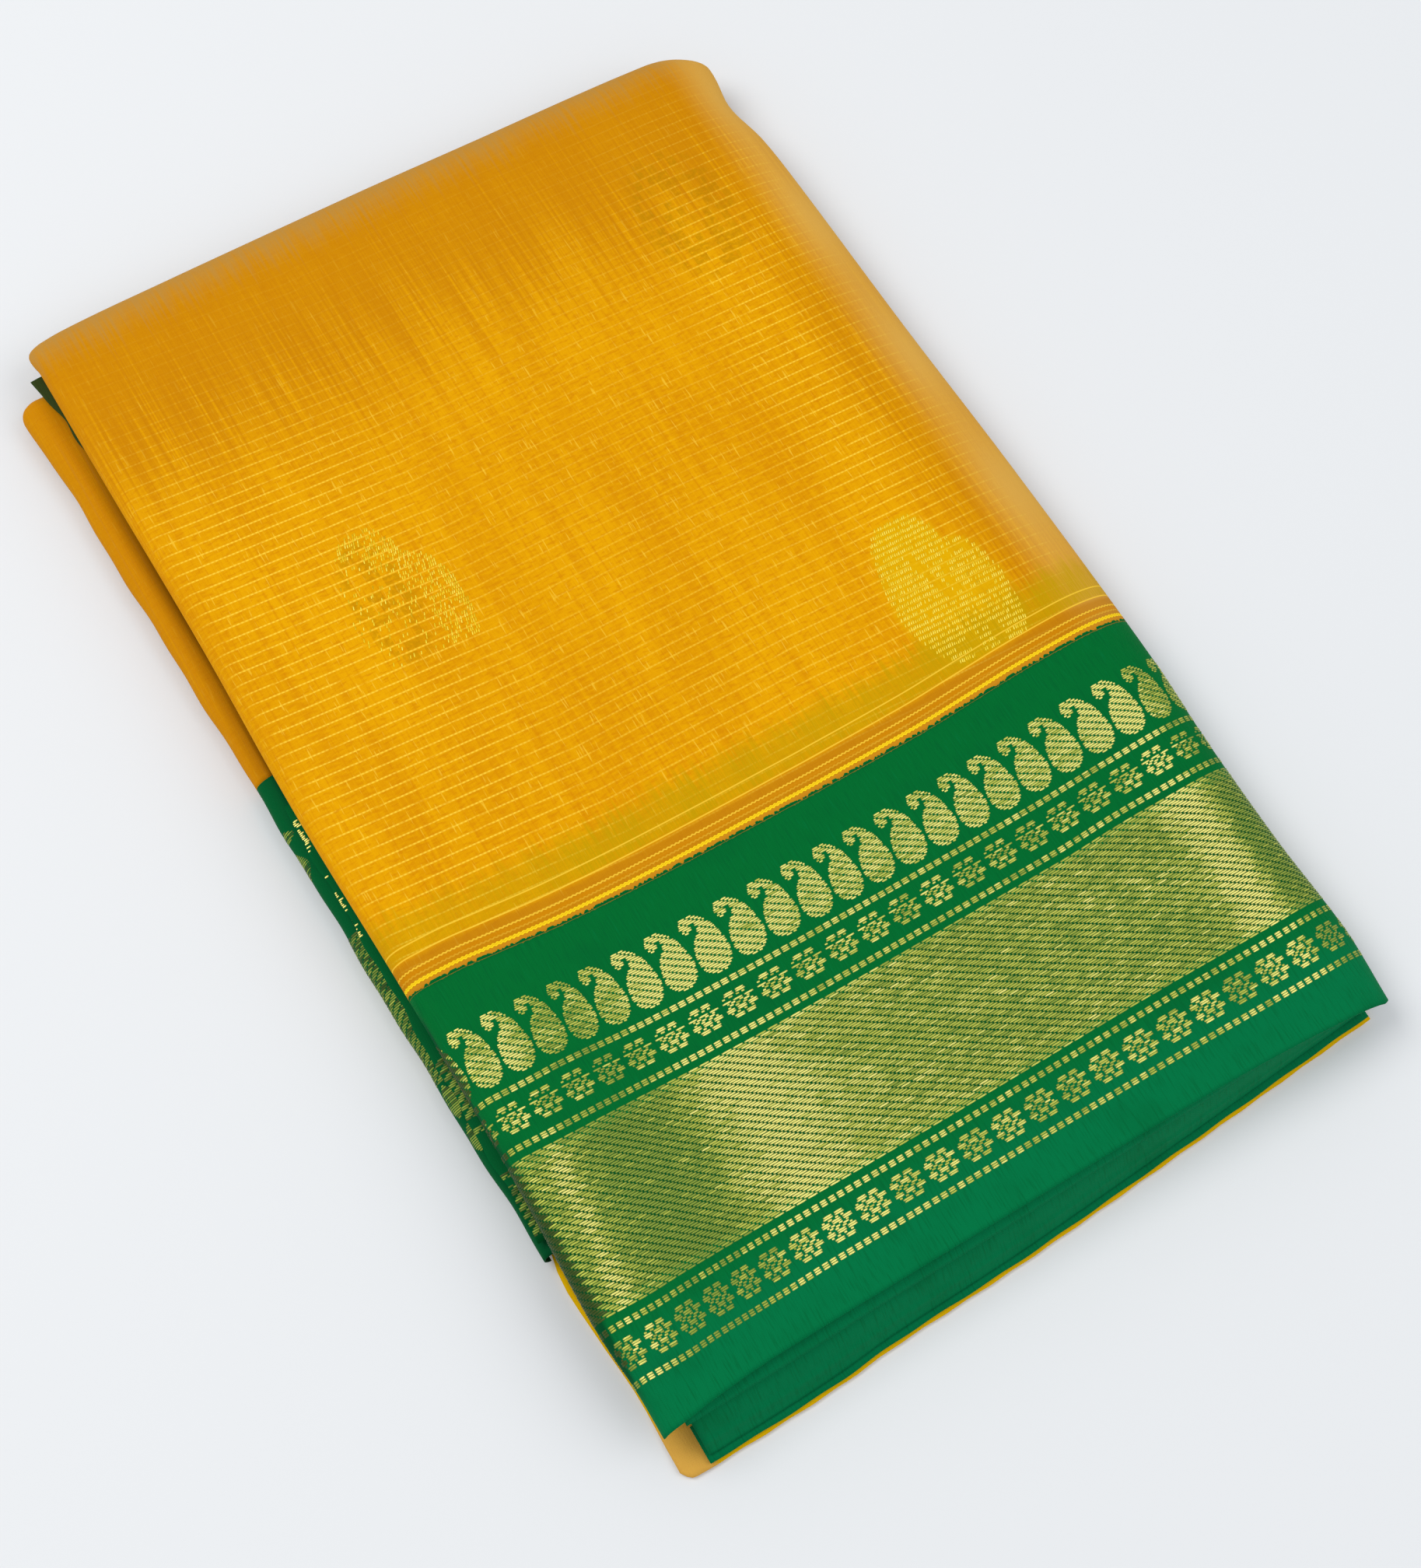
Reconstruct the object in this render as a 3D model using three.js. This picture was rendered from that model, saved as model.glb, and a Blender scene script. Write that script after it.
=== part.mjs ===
// A folded saree lying flat: a mustard body with a green border, folded in thirds across its width
// and then over and over along its length, into one packet with its layers showing at the edges.
// Millimetres. X runs along the border, Y from the selvedge in front to the folds at the back, Z up.
// The sizes below are taken from the middle of the front selvedge, on the surface the packet lies on.

import * as THREE from "three";

// Driving dimensions
const PLY = 1.2; // wall of a stretch of cloth that shows
const THIN_PLY = 1.0; // wall of a ply of which only the edge shows
const SEAM = 0.3; // gap between neighbouring stretches
const HIDDEN_DEPTH = PLY + 0.7; // the hidden layers lie this far below the outside of the upper fold
const PACKET_TOP = 20.4; // top of the packet above the surface
const FLAT = { left: -110.4, right: 100.6 }; // ends of the flat part across, at the front
const BORDER_DEPTH = 128.4; // from the front selvedge to the join of border and body, in the middle

// How far each edge of the top ply takes to turn over, and how deep that turn is
const LEFT_TURN = { wide: 5.5, deep: 4.8, end: 2.2 };
const RIGHT_TURN = { wide: 20, deep: 9, end: 2.1 };
const BACK_TURN = { wide: 12, deep: 8, end: 2.0 };
const FRONT_SLOPE = { start: 3, end: 1.5, endZ: 3.3 }; // the plies under the top one slope down to the front

// The lower fold stands out to the left under the upper one
const LOWER_TOP = 10.1;
const LOWER_TURN = { wide: 4.9, deep: 4.8, end: 2.45 };
const LOWER_BACK_TURN = { wide: 6, deep: 4.8, end: 2.1 };
const LOWER_FRONT_Y = 54.3;
const LOWER_BACK_Y = 365.5;
const LOWER_INNER_X = -111.5;
const LOWER_JOIN_Y = 215;

// The plies of the border that show at the front, under the top one
const PLY_TUCK = 13; // how far they reach in behind the start of the slope
const SECOND_PLY = { left: -108.4, right: 112.6, end: 0.6 };
const THIRD_PLY = { left: -107, right: 112.6, back: 1.8 };
const FOURTH_PLY = { left: -104.5, right: 111.5, tuck: 3.2, bottom: 1.5 };

// The inner plies whose folded edges show on the left, between the upper and the lower fold
const INNER_PLY_TOP = 11.6;
const INNER_PLY_X = -109.5;
const INNER_EDGE_SAG = 0.2;
const INNER_FRONT = { front: 58, back: 204 };
const INNER_BACK = { front: 300, back: 369 };

// The bottom ply, flat on the surface
const BOTTOM = { right: 113, back: 372, tabRight: -106.9, out: 0.8 };

// Outermost reach of the upper fold on the left, at each distance from the selvedge
const LEFT_EDGE = [
  { y: -5, x: -114.8 }, { y: 10, x: -114.9 }, { y: 30, x: -116.2 }, { y: 78, x: -115.2 }, { y: 136, x: -115.8 },
  { y: 199, x: -117.4 }, { y: 260, x: -117.0 }, { y: 330, x: -117.9 }, { y: 381, x: -118.4 },
];

// Outermost reach of the upper fold on the right, with the notch near the back corner
const RIGHT_EDGE = [
  { y: -5, x: 118.4 }, { y: 19, x: 120.3 }, { y: 52, x: 119.3 }, { y: 86, x: 119.9 }, { y: 120, x: 121.6 },
  { y: 193, x: 121.6 }, { y: 250, x: 120.5 }, { y: 313, x: 120.0 }, { y: 334, x: 119.2 }, { y: 350, x: 116.6 },
  { y: 364, x: 118.6 }, { y: 381, x: 118.6 },
];

// Outermost reach of the folds at the back, across the packet
const BACK_EDGE = [
  { x: -119, y: 378.2 }, { x: -104, y: 380.4 }, { x: -70, y: 381 }, { x: 0, y: 380.9 }, { x: 40, y: 380.2 },
  { x: 77, y: 379.7 }, { x: 107, y: 378.6 }, { x: 122, y: 377.6 },
];

// Front edge of the top ply: bowed in a little, with its two corners forward
const SELVEDGE = [
  { x: -120, y: -3.6 }, { x: -112, y: -3.0 }, { x: -98, y: -1.4 }, { x: -78, y: -0.3 }, { x: 0, y: 0.1 },
  { x: 60, y: 0.1 }, { x: 90, y: -0.8 }, { x: 106, y: -1.9 }, { x: 120, y: -3.6 },
];

// Join of border and body on the top ply, bowed back at both sides
const JOIN_LINE = [
  { x: -120, y: 133.0 }, { x: -100, y: 132.8 }, { x: -89, y: 131.8 }, { x: -68, y: 129.9 }, { x: -39, y: 128.8 },
  { x: 4, y: 128.4 }, { x: 46, y: 128.8 }, { x: 68, y: 130.0 }, { x: 82, y: 130.8 }, { x: 98, y: 131.2 },
  { x: 120, y: 131.2 },
];

// Front edge of the lowest green ply, which slants back to the right under the top one
const LOWER_SELVEDGE = [
  { x: -120, y: -13.2 }, { x: -107, y: -13 }, { x: -86, y: -12.8 }, { x: -66, y: -12.2 }, { x: -48, y: -10.9 },
  { x: -11, y: -9.8 }, { x: 15, y: -8.4 }, { x: 42, y: -6.7 }, { x: 69, y: -4.9 }, { x: 97, y: -2.9 },
  { x: 122, y: -1.2 },
];

// How far the hidden layers come forward under the front plies: they stop short of both corners
const HIDDEN_FRONT = [
  { x: -120, out: 0 }, { x: -108, out: 0 }, { x: -93, out: 1 }, { x: 98, out: 1 }, { x: 112, out: 0.2 },
  { x: 122, out: 0 },
];

// Outermost reach of the lower fold on the left
const LOWER_LEFT_EDGE = [
  { y: 40, x: -117.2 }, { y: 70, x: -117.6 }, { y: 100, x: -118.9 }, { y: 147, x: -120.1 }, { y: 196, x: -121.5 },
  { y: 231, x: -122.6 }, { y: 266, x: -124.1 }, { y: 303, x: -125.5 }, { y: 338, x: -126.7 }, { y: 357, x: -128.2 },
  { y: 372, x: -128.0 },
];

// Folded edge of the inner plies on the left
const INNER_LEFT_EDGE = [
  { y: 50, x: -117.4 }, { y: 100, x: -117.8 }, { y: 150, x: -118.2 }, { y: 205, x: -119.2 }, { y: 300, x: -118.6 },
  { y: 335, x: -120.4 }, { y: 360, x: -121.8 }, { y: 376, x: -121.6 },
];

// Left side of the bottom ply, from the lower fold to the front corner
const BOTTOM_LEFT_EDGE = [
  { y: 380, x: -112 }, { y: 70, x: -114.5 }, { y: 56, x: -117.4 }, { y: 40, x: -116.5 }, { y: 25, x: -115.3 },
  { y: 10, x: -114.7 }, { y: 0, x: -114.4 }, { y: -8, x: -115.2 }, { y: -11.2, x: -114.6 }, { y: -12.9, x: -112.4 },
  { y: -13.6, x: -109.4 },
];

// Low swells of the top ply: place, reach along X and Y, and height
const SWELLS = [
  { x: -92, y: 52, alongX: 20, alongY: 46, high: 0.5 }, { x: -38, y: 60, alongX: 24, alongY: 50, high: -0.5 },
  { x: 28, y: 52, alongX: 30, alongY: 44, high: 0.6 }, { x: 88, y: 66, alongX: 16, alongY: 50, high: 0.4 },
  { x: -10, y: 210, alongX: 60, alongY: 60, high: 0.5 }, { x: 60, y: 300, alongX: 34, alongY: 50, high: -0.4 },
];

// Sides of the hidden layers below the turned edge: how far in from that edge, at each height.
// Each groove is the gap between one folded bundle and the next.
const LEFT_SIDE = [
  { in: 1.1, z: 13.3 }, { in: 7.4, z: 12.7 }, { in: 8.0, z: 8.7 }, { in: 5.0, z: 8.55 }, { in: 1.2, z: 7.6 },
  { in: 0.1, z: 6.0 }, { in: 0.3, z: 4.4 }, { in: 1.4, z: 2.8 }, { in: 3.2, z: 1.5 },
];
const RIGHT_SIDE = [
  { in: 4.2, z: 8.4 }, { in: 5.0, z: 7.2 }, { in: 6.5, z: 6.6 }, { in: 4.4, z: 5.9 }, { in: 4.2, z: 4.8 },
  { in: 6.2, z: 4.2 }, { in: 4.6, z: 3.5 }, { in: 4.8, z: 2.4 }, { in: 6.4, z: 1.5 },
];
const BACK_SIDE = [
  { in: 0.6, z: 9.9 }, { in: 2.0, z: 9.0 }, { in: 5.0, z: 8.3 }, { in: 3.0, z: 7.5 }, { in: 2.6, z: 6.2 },
  { in: 4.6, z: 5.5 }, { in: 3.0, z: 4.6 }, { in: 3.2, z: 2.9 }, { in: 5.0, z: 1.5 },
];
// At the front they slope out under the third ply and then step back over the fourth
const FRONT_SIDE = [
  { out: 0.2, down: 0.05, in: 0 }, { out: 0.4, down: 0.2, in: 0 }, { out: 0.6, down: 0.42, in: 0 },
  { out: 0.8, down: 0.7, in: 0 }, { out: 0.94, down: 0.92, in: 0 }, { out: 1, down: 1, in: 0 },
  { out: 1, down: 1.0, in: 2.0 }, { out: 1, down: 1.0, in: 3.6 }, { out: 1, down: 1.13, in: 3.8 },
];
const FRONT_FOOT = 3.1; // height at which that slope ends
const FRONT_CORNER = { from: 111, to: 117, share: 0.25 }; // near the right corner the front is inset a little
const UNDERSIDE = 1.5; // underside of the hidden layers, just above the bottom ply
const BUMP_FIRST_RING = 3; // from this ring down, the left side follows the lower fold
const BUMP_ENDS = { front: 58, back: 352, fade: 7 };
const SLOT_ENDS = { front: 45, back: 377, fade: 6 }; // where the inner plies are tucked in above it
const CORNER_ENDS = { front: 344, back: 377, fade: 6 }; // where the lower fold turns its back corner
const PLAIN_INSET = { least: 3, corner: 8.2 }; // inset of the left side beyond those ends

// Stations of the grids: angles in the turns, and shares of the flat part between them
const QUARTER = Math.PI / 2;
const LEFT_ANGLES = [0.38, 0.76, 1.15, QUARTER];
const RIGHT_ANGLES = [0.26, 0.5, 0.68, 0.9, 1.12, 1.35, QUARTER];
const BACK_ANGLES = [0.36, 0.7, 1.0, 1.3, QUARTER];
const ACROSS_STEPS = 14;
const BORDER_STEPS = 8;
const BODY_STEPS = 12;
const SLOPE_STEPS = 5;
const CORNER_EASE = 0.96; // share of a corner's square that is used
const TURN_LEAN = 0.6; // distance across per angle of turn, as a share of the turn's width
const NUDGE = 1e-3; // step for finding a surface's direction
const TINY = 1e-9; // less than this counts as nothing
const JOIN_SHARE = 0.35; // share of the flat part, along Y, at which border and body meet
const HIDDEN_STEP = 0.004; // clearance of the hidden layers' rebate, as a share of the flat part

// Materials
const bodyCloth = new THREE.MeshStandardMaterial({ color: 0xe09c12, roughness: 0.75, metalness: 0 });
const borderCloth = new THREE.MeshStandardMaterial({ color: 0x00693a, roughness: 0.7, metalness: 0 });
const innerCloth = new THREE.MeshStandardMaterial({ color: 0xc9860f, roughness: 0.8, metalness: 0 });

// Value of a table's column at a place, on a smooth curve through its rows
function readTable(rows, placeKey, valueKey, place) {
  const rising = rows[0][placeKey] < rows[rows.length - 1][placeKey];
  const sorted = rising ? rows : [...rows].reverse();
  const last = sorted.length - 1;
  const clamped = Math.min(Math.max(place, sorted[0][placeKey]), sorted[last][placeKey]);
  let row = 0;
  while (row < last - 1 && sorted[row + 1][placeKey] < clamped) row += 1;
  const slopeAt = (k) => {
    const low = sorted[Math.max(k - 1, 0)];
    const high = sorted[Math.min(k + 1, last)];
    return (high[valueKey] - low[valueKey]) / (high[placeKey] - low[placeKey]);
  };
  const span = sorted[row + 1][placeKey] - sorted[row][placeKey];
  const t = (clamped - sorted[row][placeKey]) / span;
  const startWeight = (1 + 2 * t) * (1 - t) ** 2;
  const endWeight = t * t * (3 - 2 * t);
  const startPull = t * (1 - t) ** 2 * span * slopeAt(row);
  const endPull = t * t * (t - 1) * span * slopeAt(row + 1);
  return startWeight * sorted[row][valueKey] + endWeight * sorted[row + 1][valueKey] + startPull + endPull;
}

// Share from 0 to 1 as a value passes from one limit to another
function blend(value, from, to) {
  const t = Math.min(Math.max((value - from) / (to - from), 0), 1);
  return t * t * (3 - 2 * t);
}

// Height of the top ply above the surface
function topHeight(x, y) {
  let height = PACKET_TOP;
  for (const swell of SWELLS) {
    const across = (x - swell.x) / swell.alongX;
    const along = (y - swell.y) / swell.alongY;
    height += swell.high * Math.exp(-across * across - along * along);
  }
  const frontDroop = 1.1 * (1 - blend(y, -4, 26));
  const cornerDroop = 1.2 * blend(x, 60, 118) * (1 - blend(y, -4, 60));
  return height - frontDroop - cornerDroop;
}

// A turned edge in both directions at once: turnX and turnY are angles, 0 where the cloth is flat.
// In a corner the square of the two angles is mapped on a quarter of a disc, short of its very corner.
function turnOver(turnX, turnY, sideX, sideY) {
  const p = (CORNER_EASE * turnX) / sideX.end;
  const q = (CORNER_EASE * turnY) / sideY.end;
  const alongP = p * Math.sqrt(1 - (q * q) / 2);
  const alongQ = q * Math.sqrt(1 - (p * p) / 2);
  const reach = Math.hypot(alongP, alongQ);
  if (reach < TINY) return { x: 0, y: 0, drop: 0 };
  const shareX = (alongP / reach) ** 2;
  const angle = (reach * THREE.MathUtils.lerp(sideY.end, sideX.end, shareX)) / CORNER_EASE;
  return {
    x: sideX.wide * Math.sin(angle) * (alongP / reach),
    y: sideY.wide * Math.sin(angle) * (alongQ / reach),
    drop: THREE.MathUtils.lerp(sideY.deep, sideX.deep, shareX) * (1 - Math.cos(angle)),
  };
}

// Flat distance along Y for a share from 0 to 1, with the join of the border always at the same share
function alongFlat(share, front, join, back) {
  if (share < JOIN_SHARE) return THREE.MathUtils.lerp(front, join, share / JOIN_SHARE);
  return THREE.MathUtils.lerp(join, back, (share - JOIN_SHARE) / (1 - JOIN_SHARE));
}

// Point of the upper fold. a and b run 0 to 1 over its flat part, and beyond that they are angles of turn.
// The flat part starts at the selvedge, or at a given distance behind it.
function upperPoint(a, b, start) {
  const across = Math.min(Math.max(a, 0), 1);
  const along = Math.min(b, 1);
  const side = a < 0 ? LEFT_TURN : RIGHT_TURN;
  const turn = turnOver(a < 0 ? -a : Math.max(a - 1, 0), Math.max(b - 1, 0), side, BACK_TURN);
  const roughX = THREE.MathUtils.lerp(FLAT.left, FLAT.right, across) + (a - across) * side.wide * TURN_LEAN;
  const front = start ?? readTable(SELVEDGE, "x", "y", roughX);
  const back = readTable(BACK_EDGE, "x", "y", roughX) - BACK_TURN.wide;
  const join = readTable(JOIN_LINE, "x", "y", roughX);
  const y = alongFlat(along, front, join, back) + turn.y;
  const left = readTable(LEFT_EDGE, "y", "x", y) + LEFT_TURN.wide;
  const right = readTable(RIGHT_EDGE, "y", "x", y) - RIGHT_TURN.wide;
  const x = THREE.MathUtils.lerp(left, right, across) + (a < 0 ? -turn.x : turn.x);
  const top = topHeight(x, y);
  return new THREE.Vector3(x, y, top - (turn.drop * (top - FRONT_FOOT)) / (PACKET_TOP - FRONT_FOOT));
}

// Reach of the slope at the front: the face of the third ply ends just behind the fourth
function slopeReach(x) {
  return FRONT_SLOPE.start - readTable(LOWER_SELVEDGE, "x", "y", x) - THIRD_PLY.back;
}

// Point of a ply that lies under the upper fold and slopes down in front of it. Below 0, b is the angle
// of that slope. Depth is measured down from the upper fold, and grow is added to the slope's reach.
function frontPlyPoint(a, b, depth, grow) {
  const point = upperPoint(a, Math.max(b, 0), FRONT_SLOPE.start);
  const start = point.z - depth;
  const drop = (1 - Math.cos(Math.max(-b, 0))) / (1 - Math.cos(FRONT_SLOPE.end));
  point.y -= ((slopeReach(point.x) + grow) * Math.max(-b, 0)) / FRONT_SLOPE.end;
  point.z = THREE.MathUtils.lerp(start, FRONT_SLOPE.endZ, drop);
  return point;
}

// Point of the lower fold, which turns over on the left and at the back
function lowerPoint(a, b) {
  const across = Math.min(Math.max(a, 0), 1);
  const along = Math.min(Math.max(b, 0), 1);
  const turn = turnOver(Math.max(-a, 0), Math.max(b - 1, 0), LOWER_TURN, LOWER_BACK_TURN);
  const back = LOWER_BACK_Y - LOWER_BACK_TURN.wide;
  const y = alongFlat(along, LOWER_FRONT_Y, LOWER_JOIN_Y, back) + turn.y;
  const left = readTable(LOWER_LEFT_EDGE, "y", "x", y) + LOWER_TURN.wide;
  const x = THREE.MathUtils.lerp(left, LOWER_INNER_X, across) - turn.x;
  return new THREE.Vector3(x, y, LOWER_TOP - turn.drop);
}

// The same point moved in, square to the surface
function movedIn(point, a, b, depth) {
  const alongA = point(a + NUDGE, b).sub(point(a - NUDGE, b));
  const alongB = point(a, b + NUDGE).sub(point(a, b - NUDGE));
  const outward = alongA.cross(alongB).normalize();
  return point(a, b).addScaledVector(outward, -depth);
}

// Even steps from one value to another, both included
function steps(from, to, count) {
  return Array.from({ length: count + 1 }, (_, k) => from + ((to - from) * k) / count);
}

// Closed mesh from points and triangles, turned so that its faces point out
function closedMesh(name, material, points, triangles) {
  let volume = 0;
  for (let k = 0; k < triangles.length; k += 3) {
    const [p, q, r] = [points[triangles[k]], points[triangles[k + 1]], points[triangles[k + 2]]];
    volume += p.dot(q.clone().cross(r));
  }
  const faces = volume > 0 ? triangles : [...triangles].reverse();
  const geometry = new THREE.BufferGeometry().setFromPoints(points);
  geometry.setIndex(faces);
  geometry.computeVertexNormals();
  const mesh = new THREE.Mesh(geometry, material);
  mesh.name = name;
  return mesh;
}

// Two triangles over the four corners of a cell
function cell(triangles, p, q, r, s) {
  triangles.push(p, q, r, p, r, s);
}

// Indices round the border of a grid, each one once
function gridRim(columns, rows) {
  const rim = [];
  for (let i = 0; i < columns - 1; i += 1) rim.push(i * rows);
  for (let j = 0; j < rows - 1; j += 1) rim.push((columns - 1) * rows + j);
  for (let i = columns - 1; i > 0; i -= 1) rim.push(i * rows + rows - 1);
  for (let j = rows - 1; j > 0; j -= 1) rim.push(j);
  return rim;
}

// Triangles of a grid whose points are stored column by column
function gridCells(triangles, columns, rows) {
  for (let i = 0; i < columns - 1; i += 1) {
    for (let j = 0; j < rows - 1; j += 1) {
      const corner = i * rows + j;
      cell(triangles, corner, corner + rows, corner + rows + 1, corner + 1);
    }
  }
}

// A stretch of cloth: a wall between two surfaces
function wallBetween(name, material, stations, outerPoint, innerPoint) {
  const { across, along } = stations;
  const outer = across.flatMap((a) => along.map((b) => outerPoint(a, b)));
  const inner = across.flatMap((a) => along.map((b) => innerPoint(a, b)));
  const count = outer.length;
  const triangles = [];
  gridCells(triangles, across.length, along.length);
  const lining = triangles.map((index) => index + count).reverse();
  const rim = gridRim(across.length, along.length);
  const edge = [];
  rim.forEach((index, k) => {
    const next = rim[(k + 1) % rim.length];
    cell(edge, next, index, index + count, next + count);
  });
  return closedMesh(name, material, [...outer, ...inner], [...triangles, ...lining, ...edge]);
}

// A stretch of cloth of the usual thickness inside a surface
function clothWall(name, material, stations, point, thickness = PLY) {
  return wallBetween(name, material, stations, point, (a, b) => movedIn(point, a, b, thickness));
}

// Share of the flat part at which an X lies
function shareAcross(x) {
  return (x - FLAT.left) / (FLAT.right - FLAT.left);
}

const upperSurface = (a, b) => upperPoint(a, b, null);
const insideSurface = (a, b) => upperPoint(a, b, FRONT_SLOPE.start);

const seamShare = ((SEAM / 2) * (1 - JOIN_SHARE)) / (BACK_EDGE[3].y - BACK_TURN.wide - BORDER_DEPTH);
const acrossUpper = [
  ...[...LEFT_ANGLES, (QUARTER + LEFT_TURN.end) / 2, LEFT_TURN.end].reverse().map((angle) => -angle),
  ...steps(0, 1, ACROSS_STEPS),
  ...[...RIGHT_ANGLES, (QUARTER + RIGHT_TURN.end) / 2, RIGHT_TURN.end].map((angle) => 1 + angle),
];

// Upper fold: the top ply, turned over on the left, on the right and at the back
function upperFoldBody() {
  const along = [
    ...steps(JOIN_SHARE + seamShare, 1, BODY_STEPS),
    ...[...BACK_ANGLES, (QUARTER + BACK_TURN.end) / 2, BACK_TURN.end].map((angle) => 1 + angle),
  ];
  return clothWall("upper_fold_body", bodyCloth, { across: acrossUpper, along }, upperSurface);
}

function upperFoldBorder() {
  const along = steps(0, JOIN_SHARE - seamShare, BORDER_STEPS);
  return clothWall("upper_fold_border", borderCloth, { across: acrossUpper, along }, upperSurface);
}

// Columns of a front ply: shares of the flat part, then angles into the right turn
function frontPlyColumns(ply) {
  const intoTurn = Math.asin((ply.right - FLAT.right) / RIGHT_TURN.wide);
  return [...steps(shareAcross(ply.left), 1, ACROSS_STEPS), 1 + intoTurn / 2, 1 + intoTurn];
}

const tuckShare = (JOIN_SHARE * PLY_TUCK) / (BORDER_DEPTH - FRONT_SLOPE.start);
const SECOND_DEPTH = PLY + SEAM * 1.6;
const THIRD_DEPTH = SECOND_DEPTH + THIN_PLY + SEAM * 1.6;

// A ply at the front, between two depths below the upper fold
function frontPly(name, ply, along, depth, thickness, grow) {
  const outer = (a, b) => frontPlyPoint(a, b, depth, grow);
  const inner = (a, b) => frontPlyPoint(a, b, depth + thickness, grow - thickness);
  return wallBetween(name, borderCloth, { across: frontPlyColumns(ply), along }, outer, inner);
}

// Second ply: its selvedge shows just in front of the top one
function secondPlyBorder() {
  const along = [-SECOND_PLY.end, -SECOND_PLY.end / 2, 0, tuckShare];
  return frontPly("second_ply_border", SECOND_PLY, along, SECOND_DEPTH, THIN_PLY, THIN_PLY + SEAM * 2);
}

// Third ply: it comes down over the front of the packet
function thirdPlyBorder() {
  const along = [...steps(-FRONT_SLOPE.end, 0, SLOPE_STEPS), tuckShare];
  return frontPly("third_ply_border", THIRD_PLY, along, THIRD_DEPTH, PLY, 0);
}

// Fourth ply: a flat edge just above the bottom ply
function fourthPlyBorder() {
  const point = (a, b) => {
    const x = THREE.MathUtils.lerp(FOURTH_PLY.left, FOURTH_PLY.right, a);
    const y = readTable(LOWER_SELVEDGE, "x", "y", x) + FOURTH_PLY.tuck * b;
    return new THREE.Vector3(x, y, FOURTH_PLY.bottom + THIN_PLY);
  };
  const stations = { across: steps(0, 1, ACROSS_STEPS), along: [0, 0.5, 1] };
  return clothWall("fourth_ply_border", borderCloth, stations, point, THIN_PLY);
}

// Lower fold: it stands out on the left and turns over there and at its back corner
function lowerFold(name, material, alongFlatShares, alongTurn) {
  const across = [...steps(-LOWER_TURN.end, 0, 8), 0.5, 1];
  return clothWall(name, material, { across, along: [...alongFlatShares, ...alongTurn] }, lowerPoint);
}

function lowerFoldBody() {
  const turn = steps(1, 1 + LOWER_BACK_TURN.end, 6).slice(1);
  return lowerFold("lower_fold_body", bodyCloth, steps(JOIN_SHARE + seamShare * 2, 1, 8), turn);
}

function lowerFoldBorder() {
  return lowerFold("lower_fold_border", borderCloth, steps(0, JOIN_SHARE - seamShare * 2, 8), []);
}

// An inner ply's folded edge between the upper and the lower fold
function innerPly(name, stretch) {
  const point = (a, b) => {
    const y = THREE.MathUtils.lerp(stretch.front, stretch.back, b);
    const x = THREE.MathUtils.lerp(readTable(INNER_LEFT_EDGE, "y", "x", y), INNER_PLY_X, a);
    return new THREE.Vector3(x, y, INNER_PLY_TOP - INNER_EDGE_SAG * (1 - a) ** 3);
  };
  const stations = { across: [0, 0.12, 0.3, 0.6, 1], along: steps(0, 1, 8) };
  return clothWall(name, borderCloth, stations, point, THIN_PLY);
}

// Bottom ply: flat on the surface, with its corner standing out in front on the left
function bottomPly() {
  const outline = new THREE.Shape();
  const left = [...BOTTOM_LEFT_EDGE];
  outline.moveTo(left[0].x, BOTTOM.back);
  left.slice(1).forEach((row) => outline.lineTo(row.x, row.y));
  outline.lineTo(BOTTOM.tabRight, readTable(LOWER_SELVEDGE, "x", "y", BOTTOM.tabRight) - BOTTOM.out);
  for (const x of steps(BOTTOM.tabRight, BOTTOM.right, ACROSS_STEPS).slice(1)) {
    outline.lineTo(x, readTable(LOWER_SELVEDGE, "x", "y", x) - BOTTOM.out);
  }
  outline.lineTo(BOTTOM.right, BOTTOM.back);
  const geometry = new THREE.ExtrudeGeometry(outline, { depth: PLY, bevelEnabled: false, steps: 1 });
  const mesh = new THREE.Mesh(geometry, bodyCloth);
  mesh.name = "bottom_ply_body";
  return mesh;
}

// Hidden layers: one rounded solid, with grooves between its bundles at the sides
const rebateLeft = shareAcross(SECOND_PLY.left) - HIDDEN_STEP;
const rebateRight = 1 + RIGHT_ANGLES[2];

// Point of their top: deeper where the front plies are tucked in
function hiddenTop(a, b) {
  const point = movedIn(insideSurface, a, b, HIDDEN_DEPTH);
  const tuckedIn = b <= tuckShare + HIDDEN_STEP && a >= rebateLeft && a <= rebateRight;
  if (tuckedIn) point.z -= THIRD_DEPTH + PLY + SEAM * 1.4 - HIDDEN_DEPTH;
  return point;
}

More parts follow.
